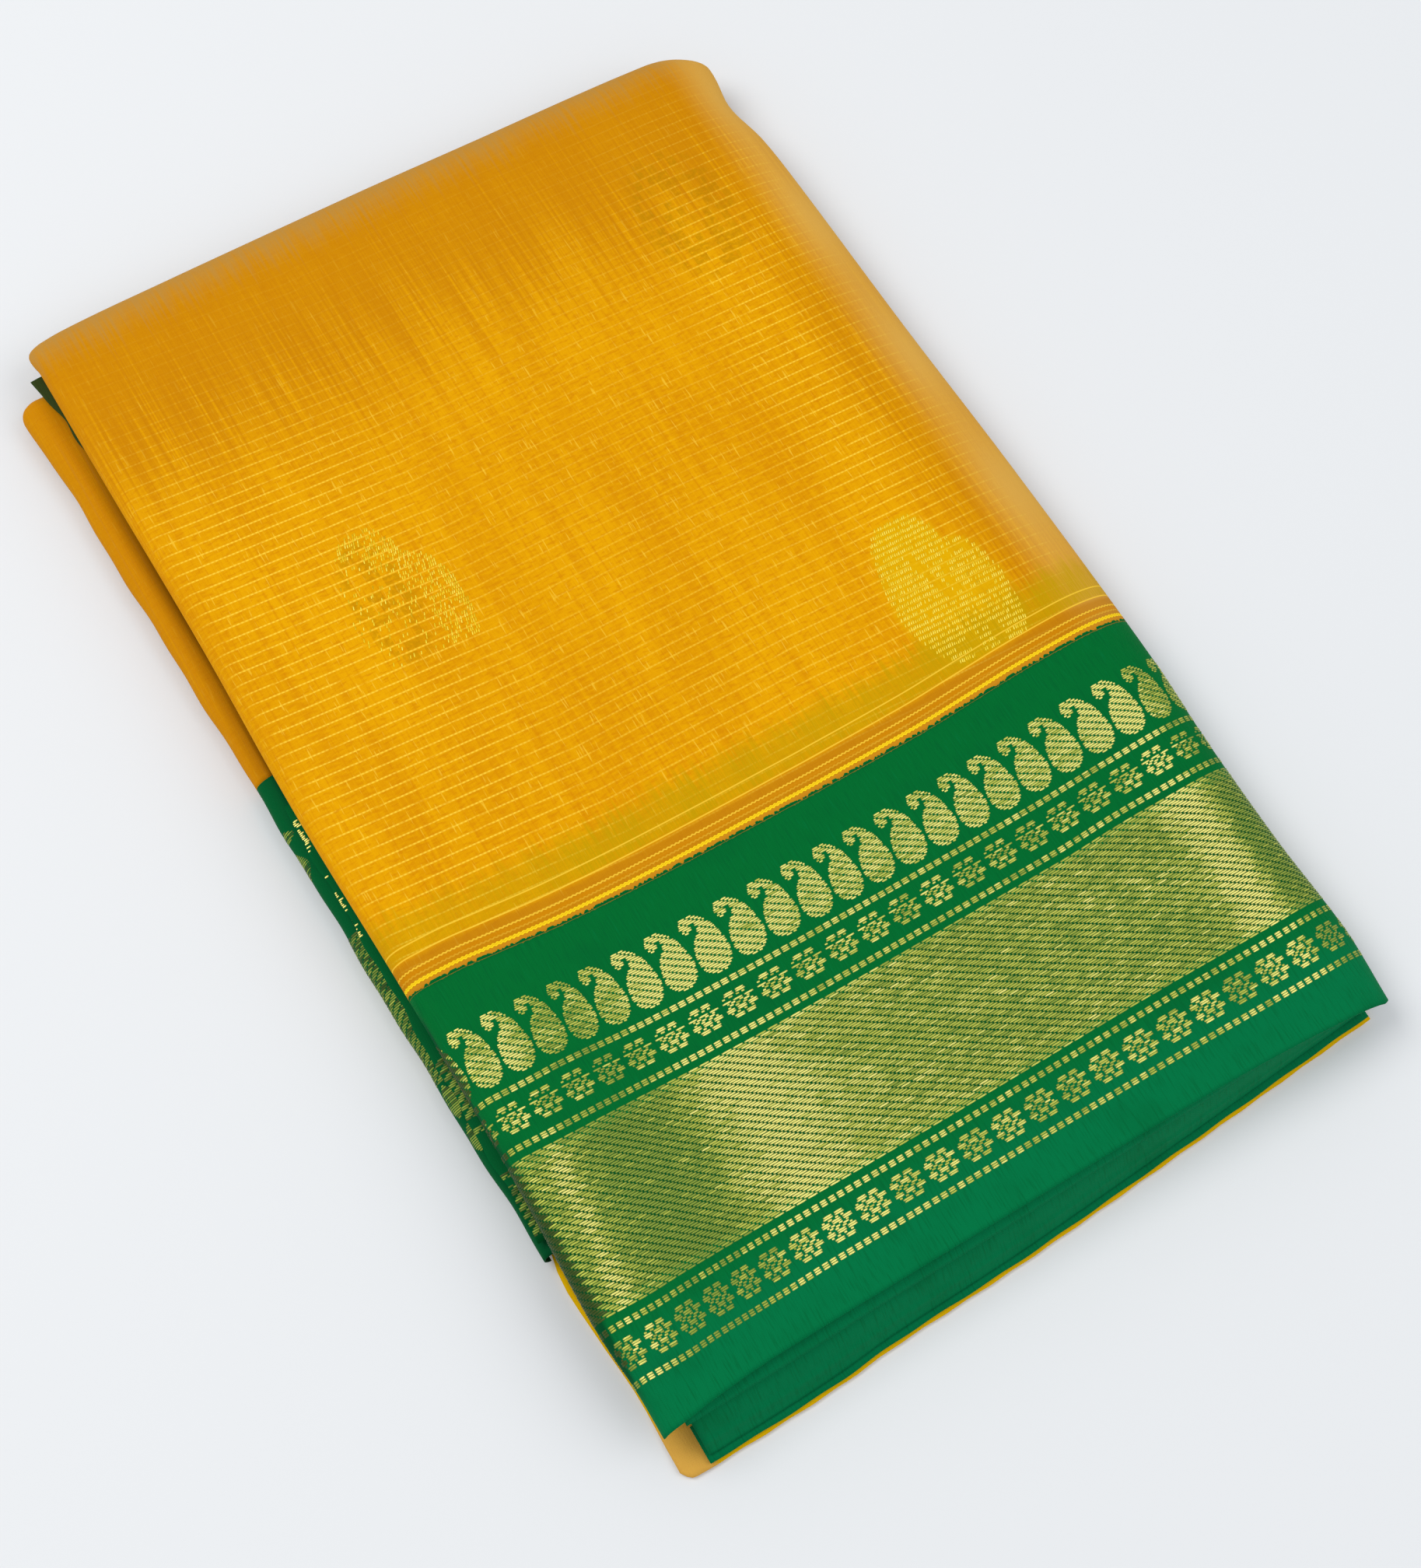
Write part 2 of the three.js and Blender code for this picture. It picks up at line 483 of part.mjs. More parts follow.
function hiddenLayers() {
  const across = [
    ...[...LEFT_ANGLES].reverse().map((angle) => -angle),
    0,
    ...steps(rebateLeft, 1, ACROSS_STEPS),
    ...RIGHT_ANGLES.map((angle) => 1 + angle),
  ];
  const along = [
    0,
    tuckShare + HIDDEN_STEP,
    tuckShare + HIDDEN_STEP * 4,
    ...steps(JOIN_SHARE / 4, JOIN_SHARE, BORDER_STEPS - 3).slice(0, -1),
    ...steps(JOIN_SHARE, 1, BODY_STEPS),
    ...BACK_ANGLES.map((angle) => 1 + angle),
  ];
  const points = across.flatMap((a) => along.map((b) => hiddenTop(a, b)));
  const triangles = [];
  gridCells(triangles, across.length, along.length);
  const rim = gridRim(across.length, along.length);
  const edge = rim.map((index) => points[index]);
  const outward = rimDirections(edge);
  let above = rim;
  LEFT_SIDE.forEach((_, k) => {
    const ring = edge.map((point, i) => points.length + i);
    points.push(...edge.map((point, i) => sidePoint(point, outward[i], k)));
    above.forEach((index, i) => {
      const next = (i + 1) % above.length;
      cell(triangles, above[next], index, ring[i], ring[next]);
    });
    above = ring;
  });
  const middle = points.length;
  points.push(new THREE.Vector3(0, BORDER_DEPTH, UNDERSIDE));
  above.forEach((index, i) => triangles.push(above[(i + 1) % above.length], index, middle));
  return closedMesh("hidden_layers", innerCloth, points, triangles);
}

// Outward direction, seen from above, at each point of a closed outline
function rimDirections(outline) {
  const count = outline.length;
  return outline.map((_, k) => {
    const before = outline[(k + count - 2) % count];
    const after = outline[(k + 2) % count];
    return new THREE.Vector2(after.y - before.y, before.x - after.x).normalize();
  });
}

// Share from 0 to 1 of a stretch along Y that fades at both ends
function stretchShare(y, ends) {
  return blend(y, ends.front, ends.front + ends.fade) * (1 - blend(y, ends.back - ends.fade, ends.back));
}

// Inset of the left side, which follows the slot of the inner plies and the lower fold under it
function leftInset(y, k) {
  if (k < BUMP_FIRST_RING) {
    const plain = Math.min(LEFT_SIDE[k].in, PLAIN_INSET.least);
    return THREE.MathUtils.lerp(plain, LEFT_SIDE[k].in, stretchShare(y, SLOT_ENDS));
  }
  const plain = THREE.MathUtils.lerp(PLAIN_INSET.least, PLAIN_INSET.corner, stretchShare(y, CORNER_ENDS));
  const lowerInside = readTable(LOWER_LEFT_EDGE, "y", "x", y) + PLY + SEAM * 2.4;
  const standOut = readTable(LEFT_EDGE, "y", "x", y) + HIDDEN_DEPTH - lowerInside;
  return THREE.MathUtils.lerp(plain, LEFT_SIDE[k].in - standOut, stretchShare(y, BUMP_ENDS));
}

// Point of the hidden layers' side, on ring k below a point of the turned edge
function sidePoint(edge, outward, k) {
  const left = Math.max(-outward.x, 0);
  const right = Math.max(outward.x, 0);
  const back = Math.max(outward.y, 0);
  const front = Math.max(-outward.y, 0);
  const slope = FRONT_SIDE[k];
  const hiddenShare = Math.min(readTable(HIDDEN_FRONT, "x", "out", edge.x), 1);
  const hiddenReach = hiddenShare * (slopeReach(edge.x) - PLY - SEAM * 1.4);
  const rightShare = right + front * FRONT_CORNER.share * blend(edge.x, FRONT_CORNER.from, FRONT_CORNER.to);
  const x = edge.x + left * leftInset(edge.y, k) - rightShare * RIGHT_SIDE[k].in;
  const y = edge.y - back * BACK_SIDE[k].in + front * (slope.in - slope.out * hiddenReach);
  const slopeZ = THREE.MathUtils.lerp(edge.z, FRONT_FOOT, Math.min(slope.down, 1));
  const frontZ = slope.down > 1 ? UNDERSIDE : slopeZ;
  const sideZ = left ** 2 * LEFT_SIDE[k].z + right ** 2 * RIGHT_SIDE[k].z + back ** 2 * BACK_SIDE[k].z;
  return new THREE.Vector3(x, y, sideZ + front ** 2 * frontZ);
}

const packet = new THREE.Group();
packet.add(
  upperFoldBody(), upperFoldBorder(), secondPlyBorder(), thirdPlyBorder(), fourthPlyBorder(), bottomPly(),
  lowerFoldBody(), lowerFoldBorder(), innerPly("inner_ply_front_border", INNER_FRONT),
  innerPly("inner_ply_back_border", INNER_BACK), hiddenLayers(),
);

// The origin is the middle of the underside
const group = new THREE.Group();
group.add(packet);
const box = new THREE.Box3().setFromObject(packet);
const middle = box.getCenter(new THREE.Vector3());
packet.position.set(-middle.x, -middle.y, -box.min.z);

export default group;
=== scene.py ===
"""A folded saree lying flat, dressed over its CAD frame: a mustard body and a green border woven with gold floats."""

import logging
import math
from dataclasses import dataclass, field
from enum import Enum
from typing import Callable, Optional, Sequence

import bmesh
import bpy
import numpy as np
from mathutils import Matrix, Vector


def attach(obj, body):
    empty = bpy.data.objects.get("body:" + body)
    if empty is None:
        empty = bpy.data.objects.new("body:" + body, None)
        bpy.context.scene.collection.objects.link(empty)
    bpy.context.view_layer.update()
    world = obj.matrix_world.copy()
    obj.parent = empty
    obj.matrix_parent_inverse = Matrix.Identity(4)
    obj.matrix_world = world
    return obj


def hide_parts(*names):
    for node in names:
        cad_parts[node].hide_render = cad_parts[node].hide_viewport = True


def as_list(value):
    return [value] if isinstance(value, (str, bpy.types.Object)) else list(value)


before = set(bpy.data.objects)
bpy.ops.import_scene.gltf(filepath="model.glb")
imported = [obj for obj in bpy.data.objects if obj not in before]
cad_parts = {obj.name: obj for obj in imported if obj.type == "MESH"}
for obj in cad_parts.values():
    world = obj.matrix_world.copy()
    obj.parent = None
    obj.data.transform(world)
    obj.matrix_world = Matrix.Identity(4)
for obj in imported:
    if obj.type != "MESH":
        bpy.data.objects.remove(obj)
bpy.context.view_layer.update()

LOG = logging.getLogger("saree")

MM = 0.001
ORIGIN = np.array([3.213, -183.630, 0.0])  # the front selvedge's middle is the origin of the sizes below, in mm
CLOTH_UV = "cloth"
ROOT = "root"
PITCH = 10.6  # repeat of the border along its length, in mm
TWILL_PERIOD = 3.5333  # from one binding point of a row to the next, in mm
TWILL_SHIFT = 0.8833  # how far the binding points move from row to row
BRIGHT_MANGO = (78.5, 166.0)  # middles of the body's mango motifs over the cloth, in mm
FAINT_MANGO = (-59.5, 241.0)
Array = np.ndarray
Pair = tuple[float, float]
Triple = tuple[float, float, float]


class Slot(Enum):
    """Material slots of the record."""

    BODY = "body_cloth"
    BORDER = "border_cloth"
    INNER = "inner_layers"


# ---- Curves and folded surfaces ---------------------------------------------------------------------------------


@dataclass(frozen=True)
class Curve:
    """A smooth curve through given rows of place and value."""

    rows: tuple[Pair, ...]

    def at(self, place: Array | float) -> Array:
        """Values of the curve.

        Args:
            place: Places to read it at.

        Returns:
            The value at each place; the end values hold beyond the ends.
        """
        rows = sorted(self.rows)
        xs = np.array([row[0] for row in rows])
        ys = np.array([row[1] for row in rows])
        slope = np.empty_like(ys)
        slope[1:-1] = (ys[2:] - ys[:-2]) / (xs[2:] - xs[:-2])
        slope[0] = (ys[1] - ys[0]) / (xs[1] - xs[0])
        slope[-1] = (ys[-1] - ys[-2]) / (xs[-1] - xs[-2])
        x = np.clip(np.asarray(place, float), xs[0], xs[-1])
        k = np.clip(np.searchsorted(xs, x, side="left") - 1, 0, len(xs) - 2)
        span = xs[k + 1] - xs[k]
        t = (x - xs[k]) / span
        ends = (1 + 2 * t) * (1 - t) ** 2 * ys[k] + t * t * (3 - 2 * t) * ys[k + 1]
        pulls = t * (1 - t) ** 2 * span * slope[k] + t * t * (t - 1) * span * slope[k + 1]
        return ends + pulls


def smooth(value: Array, low: float, high: float) -> Array:
    """Share from 0 to 1 as a value passes from one limit to another.

    Args:
        value: Values to test.
        low: Where the share is 0.
        high: Where the share is 1.

    Returns:
        The smoothed share.
    """
    t = np.clip((np.asarray(value, float) - low) / (high - low), 0.0, 1.0)
    return t * t * (3 - 2 * t)


@dataclass(frozen=True)
class Turn:
    """How an edge turns over: its width and depth in mm, and its last angle."""

    wide: float
    deep: float
    end: float


@dataclass(frozen=True)
class Crease:
    """A soft trough or ridge in the top ply.

    Its middle, its half length and half width are in mm, its direction in degrees from X, and its height in mm.
    """

    x: float
    y: float
    turn: float
    long: float
    wide: float
    high: float

    def height(self, x: Array, y: Array) -> Array:
        """Height that it adds at each place."""
        angle = math.radians(self.turn)
        along = (x - self.x) * math.cos(angle) + (y - self.y) * math.sin(angle)
        across = (y - self.y) * math.cos(angle) - (x - self.x) * math.sin(angle)
        return self.high * np.exp(-((across / self.wide) ** 2) - (along / self.long) ** 4)


CORNER_EASE = 0.96  # keeps the corner of two turns just short of its last angle
JOIN_SHARE = 0.35  # where the join lies on the flat part of the ply
BESIDE = 60.0  # a distance from the join, in mm, at which its stripes no longer show
TURN_LEAN = 0.6  # how far a turned place counts outwards when the curves along X are read
BATCH = 20000  # places that are looked up at once


def turned(
    turn_x: Array, turn_y: Array, side_x: tuple[Array, Array, Array], side_y: Turn
) -> tuple[Array, Array, Array]:
    """Offset of a surface that turns over in two directions at once.

    Args:
        turn_x: Angle turned across.
        turn_y: Angle turned along.
        side_x: Width, depth and last angle of the turn across.
        side_y: The turn along.

    Returns:
        Offsets along X and Y, and the drop.
    """
    wide, deep, end = side_x
    p = CORNER_EASE * turn_x / end
    q = CORNER_EASE * turn_y / side_y.end
    along_p = p * np.sqrt(1 - q * q / 2)
    along_q = q * np.sqrt(1 - p * p / 2)
    reach = np.hypot(along_p, along_q)
    safe = np.maximum(reach, 1e-9)
    share = (along_p / safe) ** 2
    angle = reach * (side_y.end + (end - side_y.end) * share) / CORNER_EASE
    drop = (side_y.deep + (deep - side_y.deep) * share) * (1 - np.cos(angle))
    return wide * np.sin(angle) * along_p / safe, side_y.wide * np.sin(angle) * along_q / safe, drop


def flat_along(share: Array, front: Array, join: Array, back: Array) -> Array:
    """Distance along Y for a share of the flat part, with the join always at the same share."""
    near = front + (join - front) * share / JOIN_SHARE
    far = join + (back - join) * (share - JOIN_SHARE) / (1 - JOIN_SHARE)
    return np.where(share < JOIN_SHARE, near, far)


@dataclass(frozen=True)
class PacketForm:
    """Sizes of the packet in mm, the same as its CAD solids."""

    top: float = 20.4
    foot: float = 3.1
    flat_left: float = -110.4
    flat_right: float = 100.6
    left: Turn = Turn(5.5, 4.8, 2.2)
    right: Turn = Turn(20, 9, 2.1)
    back: Turn = Turn(12, 8, 2.0)
    slope_start: float = 3.0
    slope_end: float = 1.5
    slope_foot: float = 3.3
    third_back: float = 1.8
    lower_top: float = 10.1
    lower_turn: Turn = Turn(4.9, 4.8, 2.45)
    lower_back_turn: Turn = Turn(6, 4.8, 2.1)
    lower_front_y: float = 54.3
    lower_back_y: float = 365.5
    lower_inner_x: float = -111.5
    lower_join_y: float = 215.0
    left_edge: Curve = Curve(
        ((-5, -114.8), (10, -114.9), (30, -116.2), (78, -115.2), (136, -115.8), (199, -117.4), (260, -117.0),
         (330, -117.9), (381, -118.4))
    )
    right_edge: Curve = Curve(
        ((-5, 118.4), (19, 120.3), (52, 119.3), (86, 119.9), (120, 121.6), (193, 121.6), (250, 120.5), (313, 120.0),
         (334, 119.2), (350, 116.6), (364, 118.6), (381, 118.6))
    )
    back_edge: Curve = Curve(
        ((-119, 378.2), (-104, 380.4), (-70, 381), (0, 380.9), (40, 380.2), (77, 379.7), (107, 378.6), (122, 377.6))
    )
    selvedge: Curve = Curve(
        ((-120, -3.6), (-112, -3.0), (-98, -1.4), (-78, -0.3), (0, 0.1), (60, 0.1), (90, -0.8), (106, -1.9),
         (120, -3.6))
    )
    join: Curve = Curve(
        ((-120, 133.0), (-100, 132.8), (-89, 131.8), (-68, 129.9), (-39, 128.8), (4, 128.4), (46, 128.8), (68, 130.0),
         (82, 130.8), (98, 131.2), (120, 131.2))
    )
    lower_selvedge: Curve = Curve(
        ((-120, -13.2), (-107, -13), (-86, -12.8), (-66, -12.2), (-48, -10.9), (-11, -9.8), (15, -8.4), (42, -6.7),
         (69, -4.9), (97, -2.9), (122, -1.2))
    )
    lower_left_edge: Curve = Curve(
        ((40, -117.2), (70, -117.6), (100, -118.9), (147, -120.1), (196, -121.5), (231, -122.6), (266, -124.1),
         (303, -125.5), (338, -126.7), (357, -128.2), (372, -128.0))
    )
    inner_left_edge: Curve = Curve(
        ((50, -117.4), (100, -117.8), (150, -118.2), (205, -119.2), (300, -118.6), (335, -120.4), (360, -121.8),
         (376, -121.6))
    )
    bottom_left_edge: Curve = Curve(
        ((-8, -115.2), (0, -114.4), (10, -114.7), (25, -115.3), (40, -116.5), (56, -117.4), (70, -114.5), (380, -112))
    )
    front_drop: float = 1.1
    right_drop: float = 1.2
    swells: tuple[tuple[float, float, float, float, float], ...] = (
        (-92, 52, 20, 46, 0.5), (-38, 60, 24, 50, -0.5), (28, 52, 30, 44, 0.6), (88, 66, 16, 50, 0.4),
        (-10, 210, 60, 60, 0.5), (60, 300, 34, 50, -0.4),
    )
    creases: tuple[Crease, ...] = (
        Crease(30, 67, -2, 46, 2.4, -0.25), Crease(93, 54, -62, 16, 4.0, 0.35), Crease(-98, 60, 88, 60, 7.0, -0.35),
        Crease(-50, 52, 84, 54, 9.0, 0.3), Crease(-94, 6, 12, 18, 3.0, -0.3), Crease(-60, 20, 100, 16, 5.0, 0.25),
        Crease(-45, 250, 90, 60, 3.5, 0.2), Crease(12, 150, 92, 50, 6.0, -0.2), Crease(84, 340, 86, 40, 8.0, 0.25),
        Crease(-70, 330, 95, 44, 8.0, -0.22), Crease(40, 230, 88, 80, 9.0, 0.2), Crease(98, 250, 90, 70, 5.0, 0.3),
    )

    def height(self, x: Array, y: Array) -> Array:
        """Height of the top ply at each place, with its swells and creases."""
        z = np.full(np.broadcast(x, y).shape, self.top)
        for swell_x, swell_y, along_x, along_y, high in self.swells:
            z = z + high * np.exp(-(((x - swell_x) / along_x) ** 2) - ((y - swell_y) / along_y) ** 2)
        z = z - self.front_drop * (1 - smooth(y, -4, 26))
        z = z - self.right_drop * smooth(x, 60, 118) * (1 - smooth(y, -4, 60))
        for crease in self.creases:
            z = z + crease.height(x, y)
        return z

    def upper(self, a: Array, b: Array, start: Optional[float] = None) -> Array:
        """Points of the upper fold.

        Args:
            a: Place across: 0 to 1 on the flat part, and angles of turn beyond.
            b: Place along, in the same way.
            start: Where the flat part starts, or None for the selvedge.

        Returns:
            Points in mm.
        """
        across = np.clip(a, 0, 1)
        along = np.minimum(b, 1)
        on_left = a < 0
        side = tuple(
            np.where(on_left, getattr(self.left, key), getattr(self.right, key)) for key in ("wide", "deep", "end")
        )
        turn_a = np.where(on_left, -a, np.maximum(a - 1, 0))
        out_x, out_y, drop = turned(turn_a, np.maximum(b - 1, 0), side, self.back)
        rough_x = self.flat_left + (self.flat_right - self.flat_left) * across + (a - across) * side[0] * TURN_LEAN
        front = self.selvedge.at(rough_x) if start is None else np.full(rough_x.shape, start)
        y = flat_along(along, front, self.join.at(rough_x), self.back_edge.at(rough_x) - self.back.wide) + out_y
        left = self.left_edge.at(y) + self.left.wide
        right = self.right_edge.at(y) - self.right.wide
        x = left + (right - left) * across + np.where(on_left, -out_x, out_x)
        top = self.height(x, y)
        z = top - drop * (top - self.foot) / (self.top - self.foot)
        return np.stack([x, y, z], -1)

    def front_ply(self, a: Array, b: Array, depth: float, grow: float) -> Array:
        """Points of a ply that slopes down in front: below 0, b is the angle of that slope.

        Args:
            a: Place across.
            b: Place along.
            depth: Depth under the top ply, in mm.
            grow: Length added to the slope's reach, in mm.

        Returns:
            Points in mm.
        """
        points = self.upper(a, np.maximum(b, 0), self.slope_start)
        turn = np.maximum(-b, 0)
        reach = self.slope_start - self.lower_selvedge.at(points[..., 0]) - self.third_back + grow
        drop = (1 - np.cos(turn)) / (1 - math.cos(self.slope_end))
        points[..., 1] -= reach * turn / self.slope_end
        high = points[..., 2] - depth
        points[..., 2] = high + (self.slope_foot - high) * drop
        return points

    def lower(self, a: Array, b: Array) -> Array:
        """Points of the lower fold on the left."""
        across = np.clip(a, 0, 1)
        side = tuple(np.full(np.shape(a), getattr(self.lower_turn, key)) for key in ("wide", "deep", "end"))
        out_x, out_y, drop = turned(np.maximum(-a, 0), np.maximum(b - 1, 0), side, self.lower_back_turn)
        back = self.lower_back_y - self.lower_back_turn.wide
        y = flat_along(np.clip(b, 0, 1), self.lower_front_y, self.lower_join_y, back) + out_y
        left = self.lower_left_edge.at(y) + self.lower_turn.wide
        x = left + (self.lower_inner_x - left) * across - out_x
        return np.stack([x, y, self.lower_top - drop], -1)


FORM = PacketForm()
SIDE_CREASE = Curve(((0, -115.5), (15, -114.6), (31, -114.0), (50, -114.5), (78, -115.5), (115, -116.2)))
MANGO_LEFT = Curve(
    ((-25, -9), (-20, -13), (-12, -16), (-5, -17), (3, -16.5), (10, -15), (15, -13.5), (20, -12), (26, -7))
)
MANGO_RIGHT = Curve(
    ((-25, 13), (-20, 15.5), (-12, 17), (-5, 17.5), (3, 16.5), (10, 13.5), (14, 8), (19, 7), (24, 4), (26, 1))
)


class Surface:
    """A folded surface sampled on a grid, with its distances over the cloth in mm."""

    def __init__(self, point: Callable[[Array, Array], Array], across: Array, along: Array) -> None:
        """Samples the surface.

        Args:
            point: Gives the points for places across and along.
            across: Stations across.
            along: Stations along.
        """
        self.across, self.along = across, along
        grid_a, grid_b = np.meshgrid(across, along, indexing="ij")
        self.points = point(grid_a, grid_b)
        middle_a = len(across) // 2
        middle_b = len(along) // 2
        step_a = np.linalg.norm(np.diff(self.points, axis=0), axis=-1)
        step_b = np.linalg.norm(np.diff(self.points, axis=1), axis=-1)
        run_a = np.concatenate([np.zeros((1, len(along))), np.cumsum(step_a, axis=0)])
        run_b = np.concatenate([np.zeros((len(across), 1)), np.cumsum(step_b, axis=1)], axis=1)
        self.s = run_a - run_a[middle_a] + self.points[middle_a, :, 0]
        self.t = run_b - run_b[:, middle_b : middle_b + 1] + self.points[:, middle_b, 1][:, None]
        self.normals = self._normals()

    def _normals(self) -> Array:
        """Unit normals of the grid, pointing out."""
        normal = np.cross(np.gradient(self.points, axis=0), np.gradient(self.points, axis=1))
        return normal / np.linalg.norm(normal, axis=-1, keepdims=True)

    def place(self, s: Array, t: Array, lift: Array | float = 0.0) -> Array:
        """Points at distances over the cloth.

        Args:
            s: Distances across.
            t: Distances along.
            lift: Height above the surface.

        Returns:
            Points in mm.
        """
        s = np.asarray(s, float).ravel()
        t = np.asarray(t, float).ravel()
        lift = np.broadcast_to(lift, s.shape)
        out = np.empty((s.size, 3))
        for first in range(0, s.size, BATCH):
            part = slice(first, first + BATCH)
            out[part] = self._place(s[part], t[part], lift[part])
        return out

    def _place(self, s: Array, t: Array, lift: Array) -> Array:
        """Points for one batch of distances."""
        count_a, count_b = self.s.shape
        i = np.full(s.shape, count_a / 2.0)
        j = np.full(s.shape, count_b / 2.0)
        for _ in range(3):
            low = np.clip(i.astype(int), 0, count_a - 2)
            share = np.clip(i - low, 0, 1)
            rows = self.t[low] * (1 - share)[:, None] + self.t[low + 1] * share[:, None]
            j = self._station(rows, t)
            low = np.clip(j.astype(int), 0, count_b - 2)
            share = np.clip(j - low, 0, 1)
            rows = self.s[:, low].T * (1 - share)[:, None] + self.s[:, low + 1].T * share[:, None]
            i = self._station(rows, s)
        a = np.clip(i.astype(int), 0, count_a - 2)
        b = np.clip(j.astype(int), 0, count_b - 2)
        share_a = (i - a)[:, None]
        share_b = (j - b)[:, None]

        def mixed(values: Array) -> Array:
            """Values between the four stations round each place."""
            near = values[a, b] * (1 - share_b) + values[a, b + 1] * share_b
            far = values[a + 1, b] * (1 - share_b) + values[a + 1, b + 1] * share_b
            return near * (1 - share_a) + far * share_a

        return mixed(self.points) + mixed(self.normals) * lift[:, None]

    def flat_size(self) -> Pair:
        """Mean distance over the cloth across and along, in metres."""
        wide = float(np.mean(self.s[-1] - self.s[0])) * MM
        long = float(np.mean(self.t[:, -1] - self.t[:, 0])) * MM
        return round(wide, 3), round(long, 3)

    @staticmethod
    def _station(rows: Array, value: Array) -> Array:
        """Fractional station at which each rising row reaches its value."""
        k = np.clip((rows < value[:, None]).sum(axis=1) - 1, 0, rows.shape[1] - 2)
        pick = np.arange(len(value))
        low, high = rows[pick, k], rows[pick, k + 1]
        return np.clip(k + (value - low) / np.maximum(high - low, 1e-9), 0, rows.shape[1] - 1)


# ---- The border's own grid: how its columns and rows lie on the packet -------------------------------------------


@dataclass(frozen=True)
class BorderLay:
    """How the weave of the border lies on the packet, in mm: it is pulled a little out of square at both sides."""

    upper_row: float = 105.0
    lower_row: float = 20.0
    upper_columns: Curve = Curve(
        ((-3, -149.0), (-1, -127.8), (0, -117.5), (1, -107.4), (3, -87.5), (5, -68.6), (7, -48.1), (9, -26.2),
         (11, -4.6), (13, 15.6), (15, 37.1), (17, 57.9), (19, 79.6), (21, 101.9), (23, 122.6), (27, 165.0))
    )
    lower_columns: Curve = Curve(
        ((-3, -141.0), (-1, -121.4), (0, -111.9), (1, -102.5), (3, -85.0), (5, -67.9), (7, -47.8), (9, -26.5),
         (11, -5.1), (13, 16.0), (15, 37.2), (17, 59.7), (19, 81.6), (21, 103.0), (23, 124.0), (27, 166.4))
    )
    row_places: tuple[float, ...] = (12.9, 27.2, 78.4, 93.0, 128.4)
    row_shifts: tuple[Curve, ...] = (
        Curve(((-118, -1.2), (-100, -1.5), (-90, -1.0), (-70, -0.5), (-50, 0), (60, 0.1), (100, -0.3), (120, 0.0))),
        Curve(((-118, -0.2), (-100, -0.6), (-90, -0.3), (-70, 0), (-50, 0), (0, 0), (60, 0.6), (100, 0.3), (120, 0.9))),
        Curve(((-118, 2.8), (-100, 2.1), (-90, 1.7), (-70, 1.0), (-50, 0.4), (0, 0), (60, 0.5), (80, 1.4), (100, 1.6),
               (120, 2.2))),
        Curve(((-118, 3.4), (-100, 2.9), (-90, 2.7), (-70, 1.3), (-50, 0.5), (0, 0), (60, 0.6), (80, 1.3), (100, 1.9),
               (120, 2.6))),
        Curve(((-118, 4.5), (-100, 4.4), (-90, 3.5), (-70, 1.6), (-40, 0.4), (0, 0), (46, 0.4), (68, 1.6), (82, 2.4),
               (98, 2.8), (120, 2.8))),
    )

    def lay(self, u: Array, v: Array) -> tuple[Array, Array]:
        """Where the weave's own places lie on the packet.

        Args:
            u: Places along the border, in repeats.
            v: Places up from the selvedge, in mm.

        Returns:
            Distances across and along, in mm.
        """
        share = (v - self.lower_row) / (self.upper_row - self.lower_row)
        s = self.lower_columns.at(u) * (1 - share) + self.upper_columns.at(u) * share
        shifts = np.stack([curve.at(s) for curve in self.row_shifts])
        places = np.array(self.row_places)
        k = np.clip(np.searchsorted(places, v) - 1, 0, len(places) - 2)
        part = np.clip((v - places[k]) / (places[k + 1] - places[k]), 0, 1)
        pick = np.arange(np.size(v))
        flat = shifts.reshape(len(places), -1)
        shift = flat[k.ravel(), pick] * (1 - part.ravel()) + flat[k.ravel() + 1, pick] * part.ravel()
        return s, v + shift.reshape(np.shape(v))


LAY = BorderLay()


# ---- Making meshes -----------------------------------------------------------------------------------------------


def to_world(points: Array) -> Array:
    """Points in mm from the selvedge, in metres in the row frame."""
    return (points + ORIGIN) * MM


def finish_object(
    name: str, mesh: bpy.types.Mesh, material: bpy.types.Material, slot: Slot, nodes: Sequence[str] = ()
) -> bpy.types.Object:
    """Makes a mesh an object of the part.

    Args:
        name: Name of the piece.
        mesh: Its mesh, in place.
        material: Its finish.
        slot: Material slot of the record; not used.
        nodes: CAD nodes that it stands for.

    Returns:
        The object.
    """
    piece = bpy.data.objects.new(name, mesh)
    bpy.context.scene.collection.objects.link(piece)
    mesh.materials.append(material)
    for polygon in mesh.polygons:
        polygon.use_smooth = True
    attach(piece, ROOT)
    if nodes:
        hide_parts(*nodes)
    return piece


